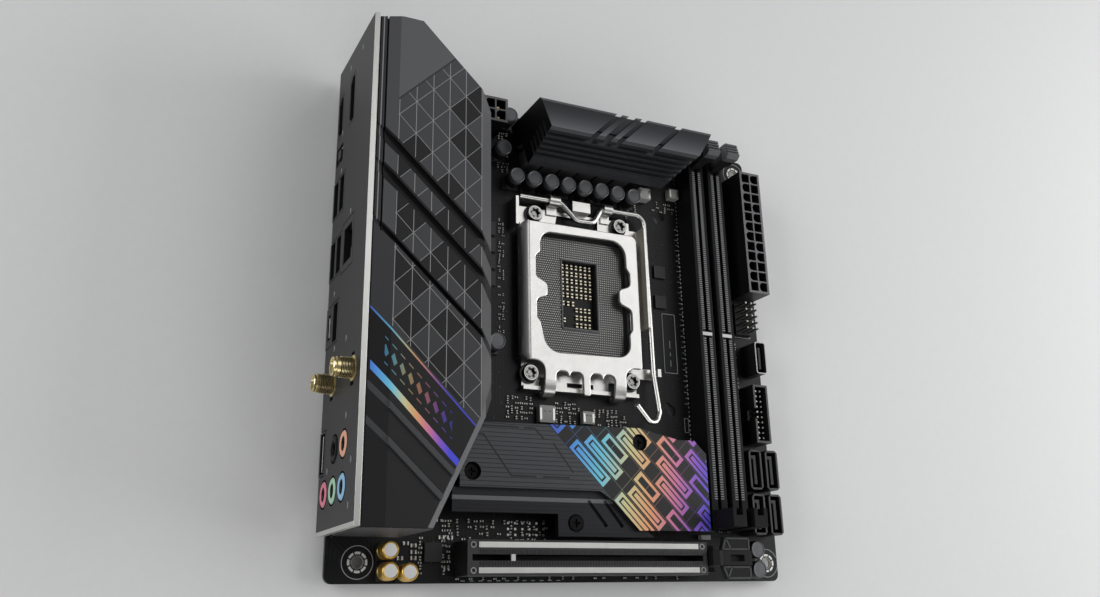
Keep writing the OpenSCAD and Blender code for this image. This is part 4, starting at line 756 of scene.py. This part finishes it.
def sheet_plate(outline, holes, low, high, soft):
    """Flat plate from an anticlockwise outline and clockwise holes, with every edge rounded:
    each loop is carried through rings that move in by soft at the top and at the bottom."""
    steps = [(soft, high), (0.3 * soft, high - 0.3 * soft), (0, high - soft)]
    steps += [(0, low + soft), (0.3 * soft, low + 0.3 * soft), (soft, low)]
    shapes, tops = [], []
    for loop in [outline, *holes]:
        rings = [raised(moved_in(loop, d), z) for d, z in steps]
        shapes.append((np.concatenate(rings), grid_faces(len(rings), len(loop), True)[:, ::-1]))
        tops.append(rings[0])
    triangles = np.array(tessellate_polygon([[Vector(p) for p in loop] for loop in tops]))
    flat = np.concatenate(tops)
    a, b, c = (flat[triangles[:, i], :2] for i in range(3))
    area = (b[:, 0] - a[:, 0]) * (c[:, 1] - a[:, 1]) - (b[:, 1] - a[:, 1]) * (c[:, 0] - a[:, 0])
    triangles[area < 0] = triangles[area < 0][:, ::-1]
    under = flat.copy()
    under[:, 2] = low
    return joined(*shapes, (flat, triangles), (under, triangles[:, ::-1]))


def bent_strip(path, x0, x1, thickness):
    """Strip of sheet between x0 and x1 that follows a path in Y and Z, thick to the path's right."""
    path = np.asarray(path, float)
    inner = path - left_of(unit(np.gradient(path, axis=0))) * thickness
    columns = [(x0, path), (x1, path), (x1, inner), (x0, inner)]
    points = np.stack([np.roll(raised(yz, x), 1, 1) for x, yz in columns], 1)
    last = 4 * (len(path) - 1)
    caps = [(0, 1, 2, 3), (last + 3, last + 2, last + 1, last)]
    return points.reshape(-1, 3), np.concatenate((grid_faces(len(path), 4, True)[:, ::-1], caps))


plate_low, plate_high, plate_left = 5.0, 6.4, -21.7
roll_r, flank_thick = 3.2, 1.2
shoulder, lip, pip, leg, tongue = -26, -29.2, -30.9, -33.2, -37.4
plate_corners = [
    (plate_left, shoulder, 0), (-16.2, shoulder, 3.6), (-16.2, leg, 0), (-11.9, leg, 0), (-11.9, lip, 2.1),
    (-7.1, lip, 1.5), (-7.1, pip, 0.2), (-6.4, pip, 0.2), (-6.4, lip, 1.5), (-1.2, lip, 2.1),
    (-1.2, tongue, 0.8), (1.6, tongue, 0.8), (1.6, lip, 2.1), (6.4, lip, 1.5), (6.4, pip, 0.2),
    (7.1, pip, 0.2), (7.1, lip, 1.5), (11.8, lip, 2.1), (11.8, leg, 0), (16.4, leg, 0),
    (16.4, shoulder, 3.6), (23.4, shoulder, 1), (23.4, -shoulder, 2.5), (plate_left, -shoulder, 0),
]
window_corners = [
    (-17.2, 22.3, 4.5), (-17.2, 14.6, 1.5), (-19.1, 12.8, 2), (-19.1, 4.8, 2), (-14.6, 2.6, 1.8),
    (-14.6, -2, 1.8), (-18.9, -3.5, 2.2), (-18.9, -10.2, 2), (-17.5, -12, 2), (-15.3, -22.8, 6.5),
    (18.7, -22, 5), (18.7, -13.2, 2), (20, -11.5, 2), (20, -3.8, 2.2), (14.9, -1.6, 1.8),
    (14.9, 3.6, 1.8), (19.8, 5.5, 2.2), (19.8, 10.5, 2), (18.4, 12.5, 2), (18.3, 22.9, 6),
]
plate_loop, window_loop = (
    rounded(rows[:, :2], rows[:, 2]) for rows in map(np.array, (plate_corners, window_corners))
)
flat_part = sheet_plate(plate_loop, [window_loop[::-1]], plate_low, plate_high, 0.3)
roll = spokes(np.linspace(np.pi / 2, np.pi, 12))
section = np.concatenate((roll_r * roll, (roll_r - flank_thick) * roll[::-1]))
rows = np.array((shoulder, -23.8, 24, -shoulder))
drop = np.array((0.4, 1, 1, 0.4))
flank = np.empty((len(rows), len(section), 3))
flank[:, :, 0] = plate_left + section[:, 0] * drop[:, None]
flank[:, :, 1] = rows[:, None]
flank[:, :, 2] = plate_high - roll_r + section[:, 1]
flank_faces = grid_faces(len(rows), len(section), True)[:, ::-1]
hinge, hinge_r = (-37.0, 2.0), 1.3
t = np.linspace(0, 1, 8)[:, None]
fall = (1 - t) ** 2 * (-33, plate_high) + 2 * t * (1 - t) * (-38, plate_high) + t**2 * (-38.3, 2.6)
curl = hinge + hinge_r * spokes(np.linspace(np.pi, 1.75 * np.pi, 6)[1:])
leg_path = np.concatenate((fall, curl))[::-1]
legs = [bent_strip(leg_path, x0, x1, 1.1) for x0, x1 in ((-16.1, -12), (11.9, 16.3))]
points, faces = joined(flat_part, (flank.reshape(-1, 3), flank_faces), *legs)
socket_origin = (socket_x, socket_y, 0)
satin_steel = metal("satin_steel", (0.8, 0.79, 0.765), 0.34, 1.2, edge=0.0, depth=0.006)
load_plate = piece("load_plate_sheet", (points + socket_origin, faces), satin_steel, "load_plate_body")
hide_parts("load_plate")


# Load lever
# One bent steel wire: a straight pivot, a shallow crank over the plate's edge, the long arm
# down the right side and a hooked thumb end.
def tube(path, radius, steps=16):
    """Round bar along a path: a ring of points square to the path at each of its points, and two caps."""
    ahead = unit(np.gradient(path, axis=0))
    aside = unit(np.cross(ahead, (0, 0, 1)))
    across = np.stack((aside, np.cross(aside, ahead)), 1)
    rings = path[:, None] + radius * spokes(np.linspace(0, 2 * np.pi, steps, endpoint=False)) @ across
    faces = grid_faces(len(path), steps, True)[:, ::-1].tolist()
    last = (len(path) - 1) * steps
    faces += [list(range(steps)), list(range(last + steps - 1, last - 1, -1))]
    return rings.reshape(-1, 3), faces


pivot_y, wire_z = 36, 4
lever_points = [
    (-24.2, pivot_y, wire_z), (-7.5, pivot_y, wire_z), (-0.9, 29.6, wire_z), (6.4, 29.7, wire_z),
    (10, pivot_y, wire_z), (26.3, pivot_y, wire_z), (28.4, 33.4, 4.3), (29, -27, 4.4), (29.8, -41.4, 6),
    (28, -45, 6.8), (24.4, -45.6, 7.8), (18.4, -40, 9.4),
]
bend_radii = [0] + [3.4] * 4 + [3.0] * 6 + [0]
wire_radius = 1.0
points, faces = tube(rounded(lever_points, bend_radii), wire_radius)
wire_steel = metal("wire_steel", (0.82, 0.81, 0.78), 0.3, 1.2, edge=0.0, depth=0.0005)
lever = piece("load_lever_wire", (points + socket_origin, faces), wire_steel, "load_lever_body")
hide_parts("load_lever")


# Memory slots
# Long black resin bodies with two rows of contacts each, a white key, a fixed tower at one end
# and a swinging grey latch with a ribbed thumb pad at the other.
def top_lit_resin(name, colour, rim, height):
    """Black resin whose uppermost faces are painted a paler grey as a painted highlight."""

    def paint(spot, x, y, z):
        texture = grain(spot, 4, 3)
        # Painted highlight on the uppermost faces.
        top = (z > height - 0.06) * (0.55 + 0.45 * grain(spot, 0.5, 3))
        return tint(top, colour, rim), 0.36 + 0.14 * texture, relief(texture, 0.025, 0.18)

    return surface(name, paint)


slot_black = resin("slot_resin", (0.0075, 0.0075, 0.008), 0.46, 0.25, Specular_IOR_Level=0.3)
memory_resin = resin("memory_resin", (0.007, 0.007, 0.0075), 0.5, 0.25, Specular_IOR_Level=0.12)
latch_top = on_board(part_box("dimm_latch_a")[1])[2]


def latch_paint(spot, x, y, z):
    """Near-black resin whose ribbed thumb pad, at the top, is light grey."""
    texture = grain(spot, 4, 3)
    pad = (z > latch_top - 4.4) * (0.75 + 0.25 * grain(spot, 0.6, 2))
    colour = tint(pad, (0.012, 0.012, 0.013), (0.14, 0.142, 0.148))
    return colour, 0.36 + 0.16 * texture, relief(texture, 0.02, 0.25)


latch_grey = surface("latch_resin", latch_paint)
slot_centres = []
for letter in "ab":
    cover_node("dimm_slot_" + letter, memory_resin)
    cover_node("dimm_latch_" + letter, latch_grey)
    slot_centres.append(np.mean([on_board(v)[0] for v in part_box("dimm_slot_" + letter)]))
comb_z, comb_pitch = 9.96, 0.85
contact_y = np.concatenate((np.arange(28, 87.6, comb_pitch), np.arange(91.4, 156.8, comb_pitch)))
contacts = [(x + side * 1.32, y, comb_z) for x in slot_centres for side in sides for y in contact_y]
grey_comb = resin("grey_comb", (0.25, 0.252, 0.26), 0.45, 0.0)
piece("memory_combs", blocks(contacts, (1.15, 0.38, 0.2), 0.05), grey_comb)
rails = [(x + side * 2.02, 92.4, comb_z) for x in slot_centres for side in sides]
rail_resin = resin("rail_resin", (0.045, 0.045, 0.047), 0.4, 0.0)
piece("memory_rails", blocks(rails, (0.22, 129, 0.16), 0.04), rail_resin)
gap_dots = [(slot_centres[0] - 3.9, y, 0.0) for y in np.arange(27, 157, 1.7)]
piece("memory_solder_row", blocks(gap_dots, (0.4, 0.7, 0.15), 0.05), tin)
white_resin = resin("white_resin", (0.62, 0.62, 0.6), 0.4, 0.0)
keys = [(x, 89.4, 9.9) for x in slot_centres]
piece("memory_keys", blocks(keys, (4.3, 1.3, 0.3), 0.1), white_resin)


# Expansion slot
# Dark grey resin body with a steel bar let in along each side, combs of contacts beside the groove
# and a release latch with two thumb wings at its right end.
slot_y, slot_top = 7.35, 11.2
# Painted highlight: the slot's top faces are painted a paler grey.
slot_grey = top_lit_resin("expansion_resin", (0.008, 0.008, 0.0085), (0.042, 0.0425, 0.045), slot_top)
cover_node("pcie_slot", slot_grey)
wing_resin = resin("wing_resin", (0.009, 0.0093, 0.01), 0.5, 0.35, Specular_IOR_Level=0.16)
cover_node("pcie_latch", wing_resin)
bar_steel = metal("bar_steel", (0.88, 0.87, 0.84), 0.33, 2, (0.05, 1, 1), 0.2, 0.002)
cover_node("pcie_shield", bar_steel)
teeth_x = np.arange(46.4, 127.6, 1.0)
teeth = [(x, slot_y + side * 1.75, slot_top - 0.05) for side in sides for x in teeth_x]
comb_black = resin("comb_black", (0.004, 0.004, 0.0045), 0.4, 0.0)
piece("expansion_combs", blocks(teeth, (0.55, 1.3, 0.17), 0.05), comb_black)
piece("expansion_key", blocks([(57.55, slot_y, slot_top - 0.5)], (1.5, 2.1, 0.66), 0.1), white_resin)
eyelets = [(x, slot_y + side * 3.9, slot_top) for x in (44, 129.4) for side in sides]
eyelet_rim = [(0.6, 0.0), (0.62, 0.16), (0.78, 0.2), (0.98, 0.16), (1.02, 0.0)]
eyelet_hole = [(0.001, 0.05), (0.6, 0.05), (0.62, 0.0)]
for name, profile, paint in (
    ("expansion_eyelets", eyelet_rim, grey_comb),
    ("expansion_eyelet_holes", eyelet_hole, comb_black),
):
    points, faces = repeat(*lathe(profile, 24), eyelets)
    piece(name, (points, faces[:, ::-1]), paint)
wing_x = on_board(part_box("pcie_latch")[1])[0]
wing_shape = ((10.1, 6.7), (0.45, 6.7), (0.45, 3.0), (11.7, 3.0), (10.1, 6.7))
wing_lines = []
for side in sides:
    wing = [(wing_x - u, slot_y + side * v) for u, v in wing_shape]
    wing_lines += chain(wing) + [(*wing[0], wing_x - 8.2, slot_y + side * 3)]
# Painted highlight: the raised borders of the wings are a paler resin than the latch.
wing_edge = resin("wing_edge", (0.034, 0.0345, 0.037), 0.42, 0.0)
piece("expansion_latch_edges", strokes(wing_lines, 0.6, 13.2, 0.14), wing_edge, "pcie_latch_body")


# Drive heatsink
# Brushed dark aluminium plate over the drive, with engraved lines on its left part and a colour
# print of slanted bars on its right part. Three black cross-head screws hold it.
spectrum = [
    (0.0, (0.07, 0.1, 0.75)), (0.16, (0.12, 0.4, 0.95)), (0.32, (0.2, 0.7, 0.88)),
    (0.48, (0.78, 0.72, 0.36)), (0.62, (0.92, 0.42, 0.2)), (0.76, (0.72, 0.22, 0.42)),
    (0.88, (0.3, 0.12, 0.68)), (1.0, (0.08, 0.09, 0.8)),
]
print_start = (71.0, 51.0)
print_along = (0.697, -0.717)
drive_plate_z, drive_bar_z = 9.9, 9


def drive_paint(spot, x, y, z):
    """Horizontal brushing, a painted highlight along the ridge of the lower bar, and slanted frames in
    spectrum colours
    on the right: each lane across the slant is cut into runs of its own length."""
    brush = grain(spot, 9, 4, (0.02, 1, 1))
    line = (y % 1.45).near(0.72, 0.1)
    u, v = x - print_start[0], y - print_start[1]
    across = u * -print_along[1] + v * print_along[0]
    along = u * print_along[0] + v * print_along[1]
    top = z > drive_plate_z
    printed = (across > 0) * top
    lane = across / 5.4
    number = lane.math("FLOOR")
    chance = number.node("TexWhiteNoise", {"noise_dimensions": "1D"}, {"W": number + 3.3})
    place = lane.off_middle()
    run = (along + 61 * chance) % (15 + 9 * chance)
    length = 8 + 10 * chance
    block = (place < 0.4) * (run < length)
    inner = (place < 0.22) * (run > 1.4) * (run < length - 1.4)
    core = (place < 0.13) * (run > 2.1) * (run < length - 2.1) * (chance > 0.4)
    shape = block - inner + core
    hair = (along % 6.3).near(3.1, 0.1) | (place > 0.485)
    colour = along.node("ValToRGB", {"stops": spectrum}, {0: (along * 0.72 + across * 0.55) / 62})
    # Painted highlight along the lower bar's ridge.
    ridge = y.near(26, 0.7) * (z < drive_bar_z) * (x < 96)
    bare = layered(
        tint(brush, (0.05, 0.0515, 0.056), (0.105, 0.107, 0.114)),
        (1 - top, (0.026, 0.0265, 0.029)),
        (ridge, (0.15, 0.152, 0.158)),
        (line * (1 - printed) * top * 0.8, (0.018, 0.019, 0.021)),
    )
    black = tint(brush, (0.007, 0.007, 0.008), (0.013, 0.013, 0.015))
    art = layered(black, (hair * 0.3, colour), (shape, colour))
    height = brush * 0.4 + 0.8 * (1 - line * (1 - printed))
    return tint(printed, bare, art), 0.38 + 0.14 * brush, relief(height, 0.04, 0.3), 0.72 - 0.6 * printed


cover_node("m2_heatsink", surface("drive_aluminium", drive_paint))
drive_screw = metal("drive_screw", (0.005, 0.005, 0.0055), 0.45, Metallic=0.0, Specular_IOR_Level=0.12)
cover_node("m2_screws", drive_screw)
engraved = [
    (41, 49.2, 60.4, 49.2), (62.2, 49.2, 66.2, 49.2), (66.2, 49.2, 69.6, 45.8), (41, 46.4, 47.6, 46.4),
    (47.6, 46.4, 57.6, 33.2), (57.6, 33.2, 66.6, 33.2), (73, 44.6, 80.4, 35), (69, 33.2, 79, 33.2),
]
ink_black = resin("engraved_black", (0.004, 0.004, 0.0045), 0.5, 0.0)
piece("drive_engraving", strokes(engraved, 0.55, 9.97, 0.05), ink_black)
cross_z = 7.32
cross_places = [(44, 34.2, cross_z), (81.6, 18.6, cross_z), (107, 46.6, cross_z)]
crosses = screw_heads(cross_places, radius=2.56, height=1.52, recess=1.0, depth=0.8, lobes=4, swell=0.42)
piece("drive_screw_heads", crosses, drive_screw)


# Power connectors and headers
# Black resin housings with a painted highlight along their upper edges, brass pins in the cells
# and rows of tinned square pins on the open headers.
lit_top_edges = {
    "atx_connector": (12.8, 0.19), "cpu_power_connector": (12.8, 0.15),
    "usb3_header": (9.0, 0.07), "sata_ports": (9.0, 0.036),
}
# Painted highlight: each housing's upper faces are painted a paler grey.
for name, (top, rim) in lit_top_edges.items():
    cover_node(name, top_lit_resin(name + "_resin", (0.006, 0.006, 0.0065), (rim, rim, 1.04 * rim), top))
cover_node("header_bases", slot_black)
cover_node("header_pins", metal("pin_tin", (0.46, 0.45, 0.42), 0.36))
brass = metal("pin_brass", (0.72, 0.52, 0.22), 0.3, 3)
cover_node("power_pins", brass)
# The pale top is the metal shell's bright edge and a painted highlight.
cover_node("usb_c_header", top_lit_resin("header_shell", (0.012, 0.012, 0.0125), (0.8, 0.79, 0.77), 9.0))


# Rear panel
# Thin steel sheet painted dark grey on its face, with its folded edges left bright,
# cut out round every port. Short white ticks stand by the ports.
(panel_front, panel_end, panel_low), (_, _, panel_top) = map(on_board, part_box("io_shield"))
antenna_at = [(58.2, 12.5), (58.2, 36)]
jack_at = {
    "jack_pink": (25.4, 7.9), "jack_green": (25.4, 18.4), "jack_blue": (25.4, 28.9),
    "jack_orange": (37.6, 28.9), "jack_black": (37.6, 18.4),
}
panel_greys = (0.016, 0.0163, 0.0178), (0.022, 0.0224, 0.024)


def panel_paint(spot, x, y, z):
    """Fine orange-peel paint on the face and bare brushed steel on the folded edges."""
    fold = (z > panel_top - 0.06) | (y < panel_end + 1.3) | (z < panel_low + 0.3)
    peel = grain(spot, 2.6, 3)
    brush = grain(spot, 5, 3, (1, 0.05, 1))
    colour = tint(fold, tint(peel, *panel_greys), (0.8, 0.79, 0.76))
    return colour, 0.42 - 0.12 * fold + 0.12 * brush, relief(peel, 0.03, 0.25), fold * 1.0


cover_node("io_shield", surface("panel_paint", panel_paint))


def port_paint(spot, x, y, z):
    """Shell painted black as painted shade behind the panel's openings, whose front, level with the panel,
    has the panel's paint.
    """
    peel = grain(spot, 2.6, 3)
    front = x < panel_front + 0.05
    # Painted shade: the shell is black behind the panel's face.
    colour = tint(front, (0.004, 0.004, 0.0045), tint(peel, *panel_greys))
    return colour, 0.42 + 0.12 * peel, relief(peel, 0.03, 0.25)


ports = surface("port_shell", port_paint)
for name in ("displayport", "hdmi_port"):
    cover_node(name, ports)
for kind in ("pair", "lan", "mixed", "single"):
    cover_node(f"usb_{kind}_port", ports)
cover_node("port_tongues", slot_black)
tongue_at = [(panel_front + 0.9, y, 3.6) for y in (78.5, 38.1)]
tongue_sizes = [(1.7, 6.6, 0.4), (1.7, 11, 0.4)]
piece("tongue_edges", blocks(tongue_at, tongue_sizes, 0.05), tin)
cover_node("flash_switch", slot_black)
cover_node("flash_button", resin("button_resin", (0.012, 0.012, 0.013), 0.4))
cover_node("audio_block", slot_black)


def wall_strokes(lines, width, x):
    """Ink on the panel's face, along lines of y0, z0, y1, z1: flat bars turned to stand on the wall."""
    points, faces = strokes(lines, width, 0, 0.04)
    return (x, 0, 0) + np.roll(points, 1, 1) * (-1, 1, 1), faces[:, ::-1]


tick_places = [
    (167, 15.4), (167, 30), (146, 8), (131.5, 9), (111.4, 24), (88.6, 8.2), (69.6, 12), (69.6, 26),
    (45.6, 30), (32, 37.4), (32, 10.6), (19.6, 36.4),
]
ticks = []
for y, z in tick_places:
    ticks += [(y - 1, z, y + 1, z), (y - 0.6, z + 0.7, y + 0.6, z + 0.7)]
piece("panel_print", wall_strokes(ticks, 0.32, panel_front), board_ink)


# Antenna jacks
# Gold-plated turned brass, threaded outside. A hexagonal nut behind the panel holds each one.
# Their holes in the panel are flattened, and the gaps round them and round the sound jacks are thin black
# sheets of painted shade.
def lathe_out(profile, places):
    """Profile turned round an axis that points out of the rear panel, with height counted outwards."""
    points, faces = lathe(profile)
    return repeat(points[:, ::-1] * (-1, 1, 1), faces, places)


jack_places = [(panel_front, *at) for at in jack_at.values()]
flats = [(y - 4.9, z - 0.8, y + 4.9, z - 0.8) for y, z in antenna_at]
# Painted shade: black rings and bars on the panel's face stand for the shade in the gaps round the jacks.
gap_ring = [(4.4, 0.0), (4.4, 0.03), (3.9, 0.03)]
gap_shapes = lathe_out(gap_ring, jack_places), wall_strokes(flats, 3.0, panel_front)
gap_shade = resin("gap_shade", (0.002, 0.002, 0.002), 0.9, 0.0, Specular_IOR_Level=0.02)
piece("panel_gap_shade", joined(*gap_shapes), gap_shade)
gold = metal("gold_plating", (0.9, 0.76, 0.42), 0.34, 2, (1, 1, 1), 0.0, 0.003)
antenna_places = [(panel_front, *at) for at in antenna_at]
tip = panel_front - on_board(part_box("antenna_jacks")[0])[0]
turns = 8
pitch = (tip - 2.7) / turns
ridge = [(2.62, 0.0), (3.1, 0.1), (3.1, 0.5), (2.62, 0.6)]
thread = [(r, 0.5 + pitch * (i + h)) for i in range(turns) for r, h in ridge]
jack_end = [
    (2.9, 2.1), (2.95, 1.2), (2.3, 1.1), (2.3, 0.75), (2.75, 0.7), (2.8, 0.2), (2.65, 0), (2.25, 0),
    (2.15, 0.2), (2.15, 4.4), (0.7, 4.4), (0.7, 0.9), (0.001, 0.8),
]
jack_profile = [(0.3, -1.1), (3.1, -1.1), (3.1, 0.0), (3.8, 0.0), (3.8, 0.25), (3.0, 0.3)] + thread
jack_profile += [(r, tip - h) for r, h in jack_end]


def thread_paint(spot, x, y, z):
    """Gold plating with painted shade, brown, down in the grooves of the thread."""
    scratch = grain(spot, 2, 5)
    (y0, z0), (_, z1) = antenna_at
    u, v = y - y0, z - z0 - (z > (z0 + z1) / 2) * (z1 - z0)
    # Painted shade in the thread's grooves.
    groove = (squared(u, v) < 2.85**2) * (x > panel_front - tip + 2.2)
    plating = tint(scratch, (0.9, 0.76, 0.4), (1.0, 0.88, 0.52))
    return tint(groove, plating, (0.14, 0.095, 0.025)), 0.22 + 0.14 * scratch, relief(scratch, 0.003)


thread_gold = surface("thread_gold", thread_paint, Metallic=1.0)
antennas = piece("antenna_threads", lathe_out(jack_profile, antenna_places), thread_gold)
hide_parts("antenna_jacks")
cover_node("antenna_nuts", gold)


# Sound jacks
# Five moulded rings in the usual colours, with domed faces, pressed onto one black housing.
def ring_profile(r, bore, base, tip):
    """Straight outer wall, domed face and the bore's wall, from the panel's inner side outwards."""
    middle, half = (r + bore) / 2, (r - bore) / 2
    dome = (middle, tip - 0.9) + (half, 0.9) * spokes(np.linspace(0, np.pi, 11))
    return [(r, base), *dome, (bore, base)]


def ring_paint(colour, y0, z0):
    """Paint function of a coloured ring whose bore, nearer its axis, is painted black as painted shade in
    the hole.
    """

    def paint(spot, x, y, z):
        texture = grain(spot, 3, 3)
        # Painted shade: black in the bore.
        bore = squared(y - y0, z - z0) < 4.6
        pale = tuple(0.75 * c + 0.22 * max(colour) for c in colour)
        shown = tint(bore, tint(texture * 0.4, colour, pale), (0.004, 0.004, 0.004))
        return shown, 0.3 + 0.16 * texture, relief(texture, 0.02)

    return paint


ring_colours = {
    "jack_pink": (0.86, 0.22, 0.32), "jack_green": (0.45, 0.74, 0.52), "jack_blue": (0.3, 0.6, 0.88),
    "jack_orange": (0.9, 0.44, 0.28), "jack_black": (0.006, 0.006, 0.0065),
}
for name, colour in ring_colours.items():
    y, ring_z = jack_at[name]
    proud = panel_front - on_board(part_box(name)[0])[0]
    shape = lathe_out(ring_profile(4.0, 1.8, -1.0, proud), [(panel_front, y, ring_z)])
    gloss = 0.12 + 0.4 * max(colour)
    ring_resin = surface(name + "_resin", ring_paint(colour, y, ring_z), Specular_IOR_Level=gloss)
    ring = piece(name + "_ring", shape, ring_resin)
    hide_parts(name)


# Rear cover
# A die-cast shell over the ports, painted dark grey, with diagonal grooves painted black, partly as painted
# shade on their walls, a printed lattice, a dark band between two spectrum lines and raised ribs. It stands
# on three posts.
groove_lean, print_lean = 0.945, 1.016
cover_top = 44.5
(cover_left, cover_front, _), _ = map(on_board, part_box("io_cover"))
strip_low, strip_high = 57.5, 73.9
rail_width, rail_start = 2.8, 102
field_end = 137.2


def shell_paint(spot, x, y, z):
    """Grey paint with a printed lattice, dark facets and a slanted dark strip between spectrum lines, with
    painted light and shade: paler towards the far end, painted highlights on the bevels and along the rail,
    and painted shade in the grooves, beside the rail, at the left edge and on the front wall.
    Slanted things are placed by where their line meets the board's edge: y plus the lean times x."""
    side = x - cover_left
    slash, stripe, rise = y + groove_lean * x, y + print_lean * x, y - x
    slope = (x - 19.4) * 0.899 - (y - 12.9) * 0.439
    inside = slope < -2.05
    face = (z > cover_top - 1.9) * (x < 33.15) * inside
    deep = z > cover_top - 5.1
    peel = grain(spot, 2.4, 3)
    # Painted light: the paint is paler towards the far end.
    far = ((y - 50) / 110).clamped()
    field = face * (side > 6.6) * (stripe > 75) * (rise < field_end)
    across, down = (y + x) / 11, rise / 11
    cell = across.math("FLOOR") * 7.3 + down.math("FLOOR") * 3.1
    chance = cell.node("TexWhiteNoise", {"noise_dimensions": "1D"}, {"W": cell})
    lattice = (across.off_middle() > 0.489) | (down.off_middle() > 0.489) | ((x / 5.5).off_middle() > 0.481)
    step = rise.near(field_end + 0.4, 0.4) * (side > 6.4) * face
    band = (side > rail_width) * (side < 6.5) * (slash > rail_start)
    strip = face * (stripe < strip_high) * (stripe > strip_low)
    spectral = x.node("ValToRGB", {"stops": spectrum}, {0: x / 26 + 0.1})
    link, rank = (x * 1.42) % 3.6 - 1.8, (stripe - 66) * 0.7
    gem = (abs(link) + abs(rank) < 1.3) | abs(rank).near(2.6, 0.15) * (abs(link) < 1)
    thin = stripe.near(strip_high, 0.36) * 0.7
    bar = stripe.near(strip_low, 1.3) * (x > -0.4) * (x < 26.2)
    rib = slash.near(51.5, 1.15) | slash.near(41.4, 1.15)
    rail = (side < rail_width) * (slash > rail_start)
    groove = slash.near(131.5, 2.75) | slash.near(119.6, 2.75) | slash.near(101.4, 1.45)
    colour = layered(
        tint(far, (0.03, 0.0305, 0.033), (0.055, 0.056, 0.06)),
        ((rise > field_end) * face, (0.115, 0.117, 0.123)),
        (peel * 0.2, (0.12, 0.12, 0.125)),
        (stripe < 58.9, (0.0112, 0.0112, 0.0124)),
        (field * (chance > 0.6), (0.0045, 0.0045, 0.0052)),
        (field * lattice * 0.75, (0.42, 0.42, 0.43)),
        (step * 0.8, (0.012, 0.012, 0.013)),
        # Painted highlights on the right bevel and on the front bevel.
        ((x > 33.2) * deep * inside, (0.105, 0.106, 0.11)),
        ((slope > -2.03) * (z > cover_top - 2.06), (0.15, 0.152, 0.157)),
        (band, (0.085, 0.086, 0.09)),
        (strip, (0.007, 0.007, 0.008)),
        (strip * gem * (x > 3.5) * (x < 24) * 0.4, spectral),
        ((thin | bar) * face, spectral),
        (rib * inside * (z > cover_top - 1.5), (0.06, 0.061, 0.064)),
        # Painted shade: black in the gaps either side of the rail and at the left edge.
        (rail | (side < 0.3), (0.003, 0.003, 0.0035)),
        (rail * side.near(1.25, 0.92), (0.035, 0.0355, 0.038)),
        # Painted highlight: a glint along the rail.
        (rail * side.near(1.2, 0.16), (0.3, 0.3, 0.3)),
        # Black grooves, partly painted shade on their walls.
        (groove * (side > 2.3) * deep, (0.0025, 0.0025, 0.003)),
        # Painted shade on the front wall.
        (y < cover_front + 0.4, (0.006, 0.006, 0.0065)),
    )
    return colour, 0.42 + 0.14 * peel, relief(peel, 0.03, 0.35)


cover_node("io_cover", surface("shell_paint", shell_paint, Specular_IOR_Level=0.4))


# Floor
# Pale seamless paper under the object, which keeps its soft shadow.
floor_mesh = bpy.data.meshes.new("floor")
reach = 3.0
floor_corners = [(-reach, -reach, 0), (reach, -reach, 0), (reach, reach, 0), (-reach, reach, 0)]
floor_mesh.from_pydata(floor_corners, [], [(0, 1, 2, 3)])
floor = bpy.data.objects.new("floor", floor_mesh)
scene.collection.objects.link(floor)


def paper_paint(spot, x, y, z):
    """Pale paper with the faintest tone."""
    return tint(grain(spot, 0.4, 2), (0.84, 0.84, 0.84), (0.87, 0.87, 0.87)), 0.8 + 0.1 * grain(spot, 1, 2)


floor_mesh.materials.append(surface("floor_paper", paper_paint))
